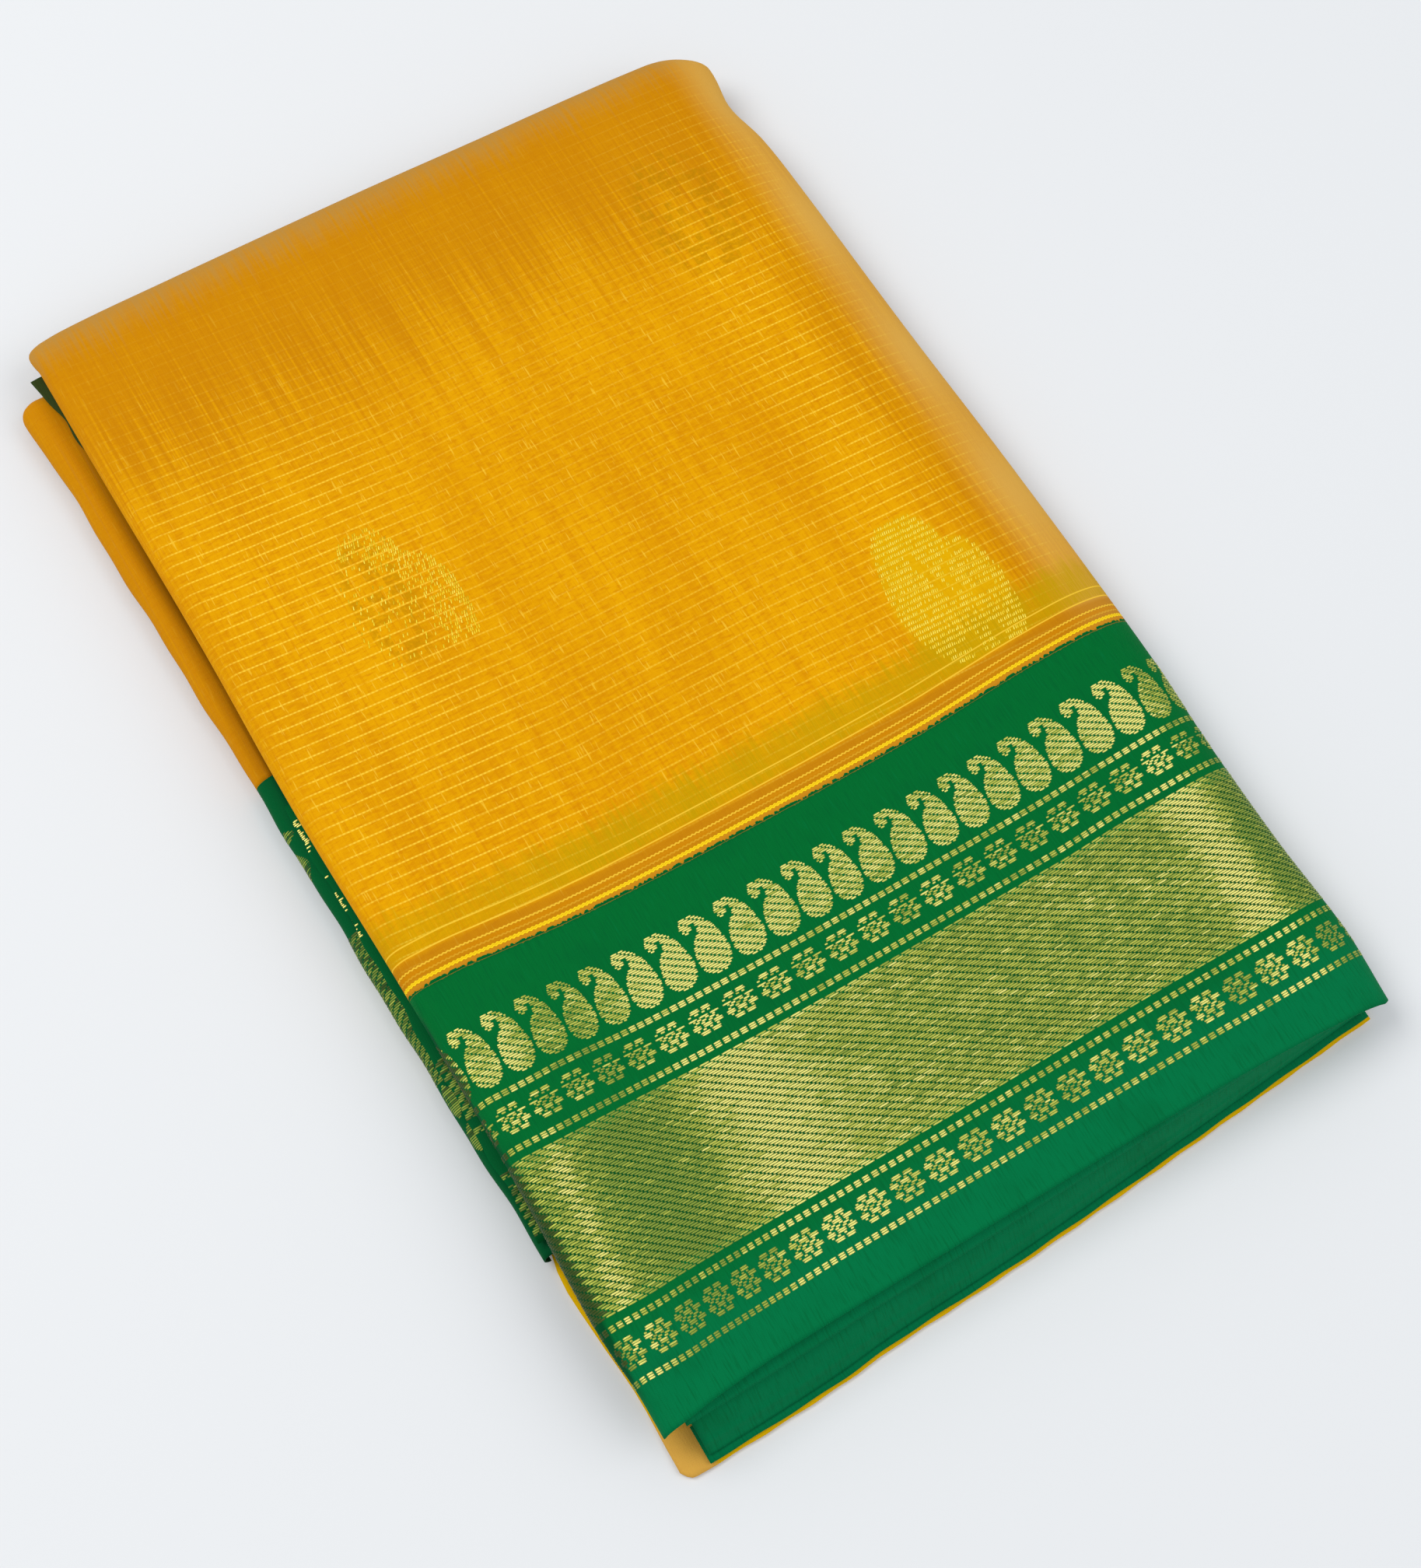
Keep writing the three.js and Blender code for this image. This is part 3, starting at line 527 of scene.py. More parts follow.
def grid_mesh(name: str, points: Array, cloth: Array, attributes: dict[str, Array]) -> bpy.types.Mesh:
    """A sheet shaped from a flat grid.

    Args:
        name: Name of the mesh.
        points: Points in metres, columns by rows.
        cloth: Cloth coordinates in mm, columns by rows.
        attributes: Further values for each point, for the finish.

    Returns:
        The mesh, with its cloth coordinates as a UV map.
    """
    columns, rows = points.shape[:2]
    sheet = bmesh.new()
    bmesh.ops.create_grid(sheet, x_segments=columns - 1, y_segments=rows - 1, size=0.5)
    sheet.verts.ensure_lookup_table()
    uv = sheet.loops.layers.uv.new(CLOTH_UV)
    layers = {key: sheet.verts.layers.float.new(key) for key in attributes}
    place: dict[int, tuple[int, int]] = {}
    for vertex in sheet.verts:
        i = round((vertex.co.x + 0.5) * (columns - 1))
        j = round((vertex.co.y + 0.5) * (rows - 1))
        place[vertex.index] = (i, j)
    for vertex in sheet.verts:
        i, j = place[vertex.index]
        vertex.co = points[i, j]
        for key, layer in layers.items():
            vertex[layer] = attributes[key][i, j]
    for face in sheet.faces:
        for loop in face.loops:
            i, j = place[loop.vert.index]
            loop[uv].uv = cloth[i, j] * MM
    mesh = bpy.data.meshes.new(name)
    sheet.to_mesh(mesh)
    sheet.free()
    return mesh


def steps(*parts: tuple[float, float, int]) -> Array:
    """Stations over stretches, each given by its start, its end and its number of steps."""
    values = [np.linspace(start, end, count + 1) for start, end, count in parts]
    return np.unique(np.round(np.concatenate(values), 6))


# ---- Finishes ----------------------------------------------------------------------------------------------------

Socket = bpy.types.NodeSocket
Value = Socket | float
Colour = Triple


class Finish:
    """A procedural material built from nodes."""

    def __init__(self, name: str) -> None:
        """Starts the material with its shader and output."""
        self.material = bpy.data.materials.new(name)
        self.material.use_nodes = True
        self.tree = self.material.node_tree
        self.tree.nodes.clear()
        self.output = self.tree.nodes.new("ShaderNodeOutputMaterial")
        self.shader = self.tree.nodes.new("ShaderNodeBsdfPrincipled")
        self.tree.links.new(self.shader.outputs["BSDF"], self.output.inputs["Surface"])

    def node(self, kind: str, **settings: object) -> bpy.types.Node:
        """A new node with its settings."""
        made = self.tree.nodes.new(kind)
        for key, value in settings.items():
            setattr(made, key, value)
        return made

    def feed(self, target: Socket, value: object) -> None:
        """Links a socket to a target, or sets a constant on it."""
        if isinstance(value, bpy.types.NodeSocket):
            self.tree.links.new(value, target)
        else:
            target.default_value = value

    def math(self, operation: str, first: Value, second: Value = 0.0) -> Socket:
        """Result of a maths node."""
        made = self.node("ShaderNodeMath", operation=operation)
        for target, value in zip(made.inputs, (first, second)):
            self.feed(target, value)
        return made.outputs[0]

    def cloth(self) -> tuple[Socket, Socket]:
        """Cloth coordinates across and along, in mm."""
        uv = self.node("ShaderNodeUVMap", uv_map=CLOTH_UV)
        split = self.node("ShaderNodeSeparateXYZ")
        self.feed(split.inputs[0], uv.outputs[0])
        return self.math("DIVIDE", split.outputs[0], MM), self.math("DIVIDE", split.outputs[1], MM)

    def attribute(self, name: str) -> Socket:
        """Value of a point attribute."""
        return self.node("ShaderNodeAttribute", attribute_name=name).outputs["Fac"]

    def vector(self, x: Value, y: Value, z: Value = 0.0) -> Socket:
        """Vector from three values."""
        made = self.node("ShaderNodeCombineXYZ")
        for target, value in zip(made.inputs, (x, y, z)):
            self.feed(target, value)
        return made.outputs[0]

    def noise(self, u: Value, v: Value, size_u: float, size_v: float, detail: float = 2.0, seed: float = 0.0) -> Socket:
        """Noise whose grain has a size across and along, in mm."""
        made = self.node("ShaderNodeTexNoise", noise_dimensions="3D")
        stretched = self.vector(self.math("DIVIDE", u, size_u), self.math("DIVIDE", v, size_v), seed)
        self.feed(made.inputs["Vector"], stretched)
        made.inputs["Scale"].default_value = 1.0
        made.inputs["Detail"].default_value = detail
        made.inputs["Roughness"].default_value = 0.55
        return made.outputs["Fac"]

    def share(self, value: Value, low: float, high: float) -> Socket:
        """Smoothed share from 0 to 1 between two limits."""
        made = self.node("ShaderNodeMapRange", interpolation_type="SMOOTHSTEP")
        self.feed(made.inputs["Value"], value)
        made.inputs["From Min"].default_value = low
        made.inputs["From Max"].default_value = high
        return made.outputs["Result"]

    def near(self, value: Value, middle: float, half: float, fade: float) -> Socket:
        """1 within a band and 0 outside it."""
        distance = self.math("ABSOLUTE", self.math("SUBTRACT", value, middle))
        return self.math("SUBTRACT", 1.0, self.share(distance, half, half + fade))

    def repeat(self, value: Value, pitch: float, half: float, fade: float) -> Socket:
        """1 within a line that repeats at a pitch, and 0 outside it."""
        turn = self.math("FRACT", self.math("DIVIDE", value, pitch))
        distance = self.math("MULTIPLY", self.math("ABSOLUTE", self.math("SUBTRACT", turn, 0.5)), pitch)
        return self.math("SUBTRACT", 1.0, self.share(distance, half, half + fade))

    def mix(self, factor: Value, first: object, second: object) -> Socket:
        """Mix of two colours."""
        made = self.node("ShaderNodeMix", data_type="RGBA")
        self.feed(made.inputs["Factor"], factor)
        for target, value in ((made.inputs["A"], first), (made.inputs["B"], second)):
            self.feed(target, (*value, 1.0) if isinstance(value, tuple) else value)
        return made.outputs["Result"]

    def product(self, *values: Value) -> Socket:
        """Product of values."""
        result = values[0]
        for value in values[1:]:
            result = self.math("MULTIPLY", result, value)
        return result

    def over(self, colour: object, tint: object, *masks: Value) -> Socket:
        """A colour with a tint laid over it where all the masks are 1."""
        return self.mix(self.product(*masks), colour, tint)

    def plus(self, base: Value, value: Value, factor: float) -> Socket:
        """A value plus another one times a factor."""
        return self.math("ADD", base, self.math("MULTIPLY", value, factor))

    def wave(self, value: Value, pitch: float) -> Socket:
        """Sine wave with a pitch in mm."""
        return self.math("SINE", self.math("MULTIPLY", value, 2 * math.pi / pitch))

    def bump(self, height: Socket, distance: float, strength: float = 1.0) -> None:
        """Sets the shader's relief, in mm."""
        made = self.node("ShaderNodeBump")
        made.inputs["Strength"].default_value = strength
        made.inputs["Distance"].default_value = distance * MM
        self.feed(made.inputs["Height"], height)
        self.feed(self.shader.inputs["Normal"], made.outputs[0])

    def polish(self, roughness: float, specular: float = 0.5, metal: float = 0.0) -> None:
        """Sets how the shader reflects."""
        for key, value in (("Roughness", roughness), ("Specular IOR Level", specular), ("Metallic", metal)):
            self.shader.inputs[key].default_value = value

    def sheen(self, weight: float, roughness: float, tint: Colour) -> None:
        """Sets the soft sheen of cloth."""
        self.shader.inputs["Sheen Weight"].default_value = weight
        self.shader.inputs["Sheen Roughness"].default_value = roughness
        self.shader.inputs["Sheen Tint"].default_value = (*tint, 1.0)


@dataclass(frozen=True)
class BodyFinish:
    """Mustard cloth: uneven weft, thin gold lines at a steady pitch, and the striped join with the border."""

    mustard: Colour = (0.73, 0.315, 0.0006)
    golden: Colour = (0.815, 0.385, 0.0008)
    orange: Colour = (0.66, 0.245, 0.0008)
    # The next two colours are painted shade and painted sheen where the cloth turns over.
    turn_shade_brown: Colour = (0.56, 0.21, 0.0015)
    grazing_sheen_tan: Colour = (0.50, 0.255, 0.046)
    # Painted sheen on the right turn; also the tint of the bottom ply's front corner.
    pale: Colour = (0.70, 0.39, 0.072)
    stripe: Colour = (0.50, 0.185, 0.004)
    line: Colour = (0.97, 0.62, 0.045)
    bright: Colour = (0.95, 0.66, 0.012)
    olive: Colour = (0.53, 0.32, 0.001)
    hollow: Colour = (0.46, 0.215, 0.001)
    ground: Colour = (0.74, 0.46, 0.001)
    shaded: Colour = (0.14, 0.05, 0.0)
    fringe: Colour = (0.60, 0.25, 0.012)
    border: Colour = (0.0, 0.135, 0.026)
    line_pitch: float = 3.7
    knot_pitch: float = 1.3
    cell_wide: float = 2.3
    single_lines: tuple[float, ...] = (9.8, 13.3)
    cords: tuple[Pair, ...] = ((6.2, 0.75), (4.3, 0.3))
    bright_cord: float = 2.45

    def make(self) -> bpy.types.Material:
        """Builds the material."""
        f = Finish("mustard_cloth")
        u, v = f.cloth()
        line = f.attribute("line")
        streak = f.noise(u, v, 0.9, 70, 2.0, 7.0)
        fibre = f.noise(u, v, 0.5, 6, 2.0, 11.0)
        thread = self._thread(f, u, v, line)
        colour = f.over(self._yarn(f, u, v, streak, fibre), self.line, thread)
        # Painted shade and painted sheen where the cloth turns over.
        colour = self._painted_turn_light(f, colour, streak)
        colour = f.over(colour, self.hollow, self._ghost(f, u, v, line), 0.55)
        colour = f.over(colour, self.ground, f.attribute("ground"), 0.5)
        # Painted sheen on the right turn, and the pale tint of the bottom ply's front corner.
        colour = f.over(colour, self.pale, f.attribute("pale"), 0.9)
        colour = f.over(colour, self.shaded, f.attribute("shade"))
        colour = self._join(f, u, v, f.attribute("row"), colour)
        f.feed(f.shader.inputs["Base Color"], colour)
        grain = f.product(f.wave(u, 0.56), f.wave(v, 0.6))
        f.bump(f.plus(f.plus(f.math("MULTIPLY", grain, 0.3), fibre, 1.2), thread, 0.8), 0.08, 0.7)
        f.polish(0.62, 0.02)
        f.sheen(0.05, 0.35, (1.0, 0.75, 0.3))
        return f.material

    def _yarn(self, f: Finish, u: Socket, v: Socket, streak: Socket, fibre: Socket) -> Socket:
        """Uneven yarn: broad stripes and narrow streaks along the cloth, and short slubs."""
        colour = f.mix(f.share(f.noise(u, v, 22, 70, 2.0, 3.0), 0.3, 0.7), self.mustard, self.golden)
        stripe = f.noise(u, v, 5.0, 150, 0.5, 37.0)
        weft = f.noise(u, v, 3.0, 0.9, 1.0, 53.0)
        slub = f.noise(u, v, 0.7, 8, 1.0, 19.0)
        for noise, low, high, amount, tint in (
            (stripe, 0.45, 0.75, 0.4, self.orange), (streak, 0.48, 0.76, 0.6, self.orange),
            (streak, 0.48, 0.28, 0.7, self.golden), (fibre, 0.52, 0.78, 0.6, self.orange),
            (weft, 0.5, 0.75, 0.65, self.orange), (weft, 0.5, 0.25, 0.6, self.golden),
            (slub, 0.64, 0.74, 0.5, self.line),
        ):
            colour = f.over(colour, tint, f.share(noise, low, high), amount)
        return colour

    def _thread(self, f: Finish, u: Socket, v: Socket, line: Socket) -> Socket:
        """Thin gold lines, knotted and broken here and there."""
        thread = f.repeat(line, self.line_pitch, 0.15, 0.2)
        knots = f.plus(0.72, f.wave(u, self.knot_pitch), 0.28)
        broken = f.share(f.noise(u, v, 9, 1.2, 2.0, 31.0), 0.25, 0.5)
        return f.product(thread, knots, broken, f.attribute("strength"))

    def _painted_turn_light(self, f: Finish, colour: Socket, streak: Socket) -> Socket:
        """Painted shade (browner) and then painted sheen (tan) where the cloth turns over."""
        turn_shade_sheen = f.attribute("turn_shade_sheen")
        turn_shade_sheen = f.plus(turn_shade_sheen, f.product(f.share(turn_shade_sheen, 0.0, 0.3), f.math("SUBTRACT", streak, 0.5)), 0.7)
        colour = f.over(colour, self.turn_shade_brown, f.share(turn_shade_sheen, 0.0, 0.5), 0.8)
        return f.over(colour, self.grazing_sheen_tan, f.share(turn_shade_sheen, 0.5, 1.0), 0.9)

    def _ghost(self, f: Finish, u: Socket, v: Socket, line: Socket) -> Socket:
        """Mask of the motifs that shine through from below, in small cells between the gold lines."""
        rung = f.math("DIVIDE", line, self.line_pitch)
        made = f.node("ShaderNodeTexWhiteNoise", noise_dimensions="2D")
        column = f.math("FLOOR", f.math("DIVIDE", u, self.cell_wide))
        f.feed(made.inputs["Vector"], f.vector(column, f.math("FLOOR", f.math("ADD", rung, 0.5))))
        part = f.math("FRACT", rung)
        between = f.math("ADD", f.near(part, 0.0, 0.33, 0.12), f.near(part, 1.0, 0.33, 0.12))
        cloud = f.share(f.noise(u, v, 1.4, 1.4, 2.0, 5.0), 0.25, 0.6)
        return f.product(f.attribute("ghost"), f.share(made.outputs["Value"], 0.25, 0.7), between, cloud)

    def _veil(self, f: Finish, u: Socket, v: Socket, row: Socket) -> Socket:
        """Mask of the olive veil over the join, which ends in a ragged comb."""
        reach = f.plus(15.0, f.noise(u, v, 1.1, 60, 2.0, 43.0), 16.0)
        comb = f.product(f.share(row, 9.4, 10.6), f.share(f.math("SUBTRACT", reach, row), -4.0, 5.0))
        patch = f.plus(0.75, f.share(f.noise(u, v, 9, 300, 1.0, 41.0), 0.3, 0.7), 0.25)
        thin = f.plus(0.65, f.share(f.noise(u, v, 0.45, 12, 1.0, 47.0), 0.62, 0.4), 0.35)
        return f.product(comb, patch, thin, f.attribute("veil"))

    def _join(self, f: Finish, u: Socket, v: Socket, row: Socket, colour: Socket) -> Socket:
        """Stripes of the body next to the border, which lies at row 0."""
        colour = f.over(colour, self.olive, self._veil(f, u, v, row), 0.9)
        colour = f.over(colour, self.stripe, f.share(row, 10.8, 8.0), 0.75)
        for middle in self.single_lines:
            colour = f.over(colour, self.line, f.near(row, middle, 0.1, 0.2), 0.75)
        edge = f.plus(row, f.wave(u, self.knot_pitch), 0.14)
        for middle, amount in self.cords:
            colour = f.over(colour, self.line, f.near(edge, middle, 0.16, 0.14), amount)
        colour = f.over(colour, self.orange, f.near(row, 5.2, 0.4, 0.3), 0.5)
        colour = f.over(colour, self.bright, f.near(edge, self.bright_cord, 0.42, 0.14))
        colour = f.over(colour, self.orange, f.near(edge, self.bright_cord + 0.05, 0.03, 0.1), 0.6)
        colour = f.over(colour, self.fringe, f.share(edge, 1.9, 1.6), 0.85)
        comb = f.math("MULTIPLY", f.share(f.noise(u, v, 1.6, 60, 2.0, 29.0), 0.7, 0.4), 0.9)
        return f.over(colour, self.border, f.math("LESS_THAN", row, comb))


@dataclass(frozen=True)
class BorderFinish:
    """Green cloth of the border, a little see-through and lighter towards its selvedge."""

    deep: Colour = (0.0, 0.140, 0.026)
    light: Colour = (0.0, 0.170, 0.054)
    shade: Colour = (0.0, 0.098, 0.024)
    under_gold: Colour = (0.0, 0.055, 0.008)
    teeth: Colour = (0.42, 0.17, 0.012)
    # Painted shade where the top ply turns down on the left.
    side: Colour = (0.0, 0.055, 0.016)
    name: str = "green_cloth"

    def make(self) -> bpy.types.Material:
        """Builds the material."""
        f = Finish(self.name)
        u, v = f.cloth()
        near_selvedge = f.share(v, 34, 8)
        warp = f.noise(u, v, 0.5, 7, 2.0, 3.0)
        cloud = f.noise(u, v, 26, 20, 2.0, 13.0)
        colour = f.mix(near_selvedge, self.deep, self.light)
        colour = f.over(colour, self.shade, f.share(warp, 0.45, 0.75), 0.45)
        colour = f.over(colour, self.light, f.share(warp, 0.45, 0.2), 0.35)
        colour = f.over(colour, self.shade, f.share(cloud, 0.5, 0.75), 0.3)
        comb = f.math("MULTIPLY", f.share(f.noise(u, v, 1.0, 60, 2.0, 29.0), 0.42, 0.8), -0.3)
        teeth = f.math("GREATER_THAN", f.attribute("row"), f.math("ADD", comb, -0.12))
        colour = f.over(colour, self.teeth, teeth, 0.5)
        colour = f.over(colour, self.under_gold, f.share(v, 32.0, 33.5), f.share(v, 75.0, 73.5), 0.65)
        # Painted shade on the left side where the top ply turns down.
        colour = f.over(colour, self.side, f.attribute("shade"), 0.85)
        f.feed(f.shader.inputs["Base Color"], colour)
        grain = f.product(f.wave(u, 0.62), f.wave(v, 0.6))
        f.bump(f.plus(warp, grain, 0.35), 0.08, 0.7)
        f.polish(0.6, 0.03)
        f.sheen(0.03, 0.4, (0.1, 1.0, 0.5))
        return f.material


@dataclass(frozen=True)
class GoldThread:
    """Metal thread of the floats: painted highlight where the cloth lies towards the light, painted olive shade where
    it turns away.
    """

    name: str = "gold_thread"
    # shaded, dull, warm and bright run from painted shade to painted highlight on the one gold.
    shaded: Colour = (0.055, 0.085, 0.015)
    dull: Colour = (0.25, 0.34, 0.046)
    warm: Colour = (0.52, 0.56, 0.080)
    bright: Colour = (0.98, 0.90, 0.25)
    metal: float = 0.3
    rough: float = 0.4

    def make(self) -> bpy.types.Material:
        """Builds the material."""
        f = Finish(self.name)
        glint = f.attribute("glint")
        crest = f.attribute("crest")
        colour = f.mix(f.share(glint, 0.12, 0.6), self.dull, self.warm)
        colour = f.over(colour, self.bright, f.share(glint, 0.45, 1.0), 0.9)
        colour = f.over(colour, self.shaded, f.share(glint, 0.12, 0.0))
        # Painted shade on the sides of each float, away from its crest.
        colour = f.over(colour, f.mix(0.7, colour, self.shaded), f.share(crest, 0.4, 0.0))
        f.feed(f.shader.inputs["Base Color"], colour)
        f.polish(self.rough, 0.12, self.metal)
        return f.material


@dataclass(frozen=True)
class StackFinish:
    """Folded edges of the inner layers: mustard at the back and green by the selvedges."""

    mustard: tuple[Colour, Colour] = ((0.70, 0.31, 0.006), (0.42, 0.17, 0.01))
    leaf: tuple[Colour, Colour] = ((0.0, 0.12, 0.036), (0.0, 0.05, 0.016))
    # Colour and pitch of thin dark lines: painted shade in the gaps between the plies.
    ply_gap_shade: Colour = (0.12, 0.06, 0.0)
    ply_gap_pitch: float = 0.5

    def make(self) -> bpy.types.Material:
        """Builds the material."""
        f = Finish("folded_layers")
        u, v = f.cloth()
        green = f.attribute("green")
        wander = f.noise(u, v, 26, 1.2, 2.0, 3.0)
        fold = f.noise(u, v, 40, 0.7, 2.0, 9.0)
        mustard = f.mix(f.share(fold, 0.4, 0.7), *self.mustard)
        leaf = f.mix(f.share(fold, 0.4, 0.7), *self.leaf)
        edge = f.plus(green, f.math("SUBTRACT", wander, 0.5), 0.5)
        colour = f.mix(f.share(edge, 0.45, 0.55), mustard, leaf)
        # Painted shade in the gaps between the plies.
        thread = f.repeat(v, self.ply_gap_pitch, 0.04, 0.1)
        colour = f.over(colour, self.ply_gap_shade, thread, 0.35)
        f.feed(f.shader.inputs["Base Color"], colour)
        f.bump(f.plus(fold, thread, -0.5), 0.15, 0.8)
        f.polish(0.75)
        return f.material


# ---- Sub-assemblies ----------------------------------------------------------------------------------------------


INNER_GREEN = BorderFinish(deep=(0.0, 0.15, 0.05), light=(0.0, 0.17, 0.058), name="green_ply")
LOWER_GREEN = BorderFinish(deep=(0.0, 0.10, 0.024), light=(0.0, 0.12, 0.035), name="green_fold")
# Dark olive green: painted shade of the gap between the top cloth and the lower fold.
GAP_SHADE_GREEN = BorderFinish(
    deep=(0.034, 0.056, 0.012), light=(0.02, 0.06, 0.016), shade=(0.03, 0.03, 0.006), name="green_gap_shade"
)
BODY_GOLD = GoldThread(
    name="gold_in_mustard", shaded=(0.60, 0.38, 0.004), dull=(0.70, 0.45, 0.006), warm=(0.92, 0.66, 0.02),
    bright=(1.0, 0.83, 0.11), metal=0.2,
)


@dataclass
class Finishes:
    """The finishes that the pieces share."""

    body: bpy.types.Material = field(default_factory=BodyFinish().make)
    border: bpy.types.Material = field(default_factory=BorderFinish().make)
    inner_border: bpy.types.Material = field(default_factory=INNER_GREEN.make)
    lower_border: bpy.types.Material = field(default_factory=LOWER_GREEN.make)
    gap_shade_border: bpy.types.Material = field(default_factory=GAP_SHADE_GREEN.make)
    gold: bpy.types.Material = field(default_factory=GoldThread().make)
    body_gold: bpy.types.Material = field(default_factory=BODY_GOLD.make)
    stack: bpy.types.Material = field(default_factory=StackFinish().make)


@dataclass
class ClothPart:
    """A part of the packet that is made of sheets. It dresses them and keeps their flat sizes in metres."""

    finishes: Finishes
    thickness: float = 0.5
    flats: dict[str, Pair] = field(default_factory=dict)

    def dress(
        self, name: str, surface: Surface, cloth: Array, values: dict[str, Array], material: bpy.types.Material,
        slot: Slot, node: str,
    ) -> bpy.types.Object:
        """Makes a sheet over a surface.

        Args:
            name: Name of the piece.
            surface: The surface that it follows.
            cloth: Cloth coordinates in mm, columns by rows.
            values: Values for its finish at each point.
            material: Its finish.
            slot: Material slot of the record.
            node: CAD node that it stands for.

        Returns:
            The object, with its thickness on the inside.
        """
        mesh = grid_mesh(name, to_world(surface.points), cloth, values)
        piece = finish_object(name, mesh, material, slot, (node,))
        wall = piece.modifiers.new("thickness", "SOLIDIFY")
        wall.thickness = self.thickness * MM
        wall.offset = -1.0
        wall.use_even_offset = False
        self.flats[name] = surface.flat_size()
        return piece


def side_shade(s: Array, t: Array) -> Array:
    """Share of shade on the border's left side, where the top ply turns down, from distances across and along."""
    crease = SIDE_CREASE.at(t) + 0.25 * np.sin(t / 4.0)
    return smooth(crease - s, -0.3, 0.5) * smooth(t, 6, 15) * smooth(t, 131, 122)


@dataclass
class UpperFold(ClothPart):
    """The top ply: its green border and its mustard body, turned over on three sides."""

    ghosts: tuple[tuple[float, float, float, float], ...] = ((81.0, 317.0, 16.0, 26.0), (-65.0, 243.0, 10.0, 23.0))
    line_phase: float = 1.35
    draw_from: float = 4.0
    corner_at: Pair = (-1.26, 2.15)
    corner_size: Pair = (0.7, 0.65)
    corner_out: Pair = (-2.0, 1.2)
    back_draw: float = 1.4

    def __post_init__(self) -> None:
        """Samples the surface on which the floats are laid."""
        across = steps((-FORM.left.end, 0, 18), (0, 1, 130), (1, 1 + FORM.right.end, 34))
        along = steps((0, JOIN_SHARE, 60), (JOIN_SHARE, 1, 70), (1, 1 + FORM.back.end, 16))
        self.surface = Surface(self._point, across, along)

    def _point(self, a: Array, b: Array) -> Array:
        """Points of the ply: its selvedge draws back at both sides, and its back left corner stands out."""
        points = FORM.upper(a, b)
        drop = np.maximum(FORM.height(points[..., 0], points[..., 1]) - points[..., 2] - self.draw_from, 0)
        points[..., 1] += 0.6 * drop * (1 - smooth(b, 0, 0.1))
        (corner_a, corner_b), (wide_a, wide_b) = self.corner_at, self.corner_size
        corner = np.exp(-(((a - corner_a) / wide_a) ** 2) - ((b - corner_b) / wide_b) ** 2)
        points[..., 0] += self.corner_out[0] * corner
        points[..., 1] += self.corner_out[1] * corner - self.back_draw * smooth(b, 0.95, 1.8)
        return points

    def build(self) -> tuple[bpy.types.Object, bpy.types.Object]:
        """Makes the two sheets.

        Returns:
            The body and the border.
        """
        fine = JOIN_SHARE + 0.06
        body = steps((JOIN_SHARE, fine, 14), (fine, 1, 96), (1, 1 + FORM.back.end, 18))
        return (
            self._sheet("top_cloth_body", body, self.finishes.body, Slot.BODY, "upper_fold_body"),
            self._sheet(
                "top_cloth_border", steps((0, JOIN_SHARE, 84)), self.finishes.border, Slot.BORDER, "upper_fold_border"
            ),
        )

    def _sheet(self, name: str, along: Array, material: bpy.types.Material, slot: Slot, node: str) -> bpy.types.Object:
        """One sheet over a stretch of the surface."""
        across = steps((-FORM.left.end, 0, 12), (0, 1, 106), (1, 1 + FORM.right.end, 26))
        surface = Surface(self._point, across, along)
        cloth = np.stack([surface.s, surface.t], -1)
        return self.dress(name, surface, cloth, self._values(surface.points, cloth), material, slot, node)

    def _values(self, points: Array, cloth: Array) -> dict[str, Array]:
        """Values for the finishes at each point of the body or border."""
        x, y = points[..., 0], points[..., 1]
        s, t = cloth[..., 0], cloth[..., 1]
        row = t - FORM.join.at(x)
        slant = 0.09 * np.clip(-s - 40, 0, None) - 0.05 * np.clip(s - 30, 0, None)
        line = t - slant + 0.25 * np.sin(s / 23.0) + self.line_phase
        strength = 0.3 + 0.7 * smooth(-s, 25, 70) * smooth(t, 345, 285) + 0.65 * smooth(s, 55, 82) * smooth(t, 378, 345)
        strength = strength + 0.3 * smooth(t, 260, 160) * smooth(s, -60, 0)
        strength = strength * smooth(112 - np.abs(s), -6, 2)
        # Painted light on the turns: browner painted shade and then tan painted sheen at the back, and painted shade on
        # the left and right turns.
        turn_shade_sheen = np.maximum(0.42 * smooth(t, 270, 356) + 0.58 * smooth(t, 354, 382), 0.12 * smooth(-s, 104, 116))
        turn_shade_sheen = np.maximum(turn_shade_sheen, 0.3 * smooth(s, 78, 104))
        # Painted sheen on the right turn.
        pale = smooth(s, 100, 115) * (0.85 + 0.15 * np.sin(t / 9.0))
        ghost = np.zeros_like(s)
        for centre_x, centre_y, half_x, half_y in self.ghosts:
            reach = np.hypot((s - centre_x) / half_x, (t - centre_y) / half_y)
            ghost = np.maximum(ghost, smooth(reach, 1.1, 0.85))
        veil = 0.7 + 0.3 * smooth(s, -85, -60) + 0.25 * smooth(s, 96, 101) * smooth(s, 118, 112)
        beside, up = s - BRIGHT_MANGO[0], t - BRIGHT_MANGO[1]
        ground = smooth(beside - MANGO_LEFT.at(up), -0.6, 0.6) * smooth(MANGO_RIGHT.at(up) - beside, -0.6, 0.6)
        ground = ground * smooth(np.abs(up), 26, 25)
        return {
            "row": row, "line": line, "strength": np.clip(strength, 0, 1), "turn_shade_sheen": np.clip(turn_shade_sheen, 0, 1), "ghost": ghost,
            "veil": veil, "ground": ground, "pale": pale, "shade": side_shade(s, t),
        }


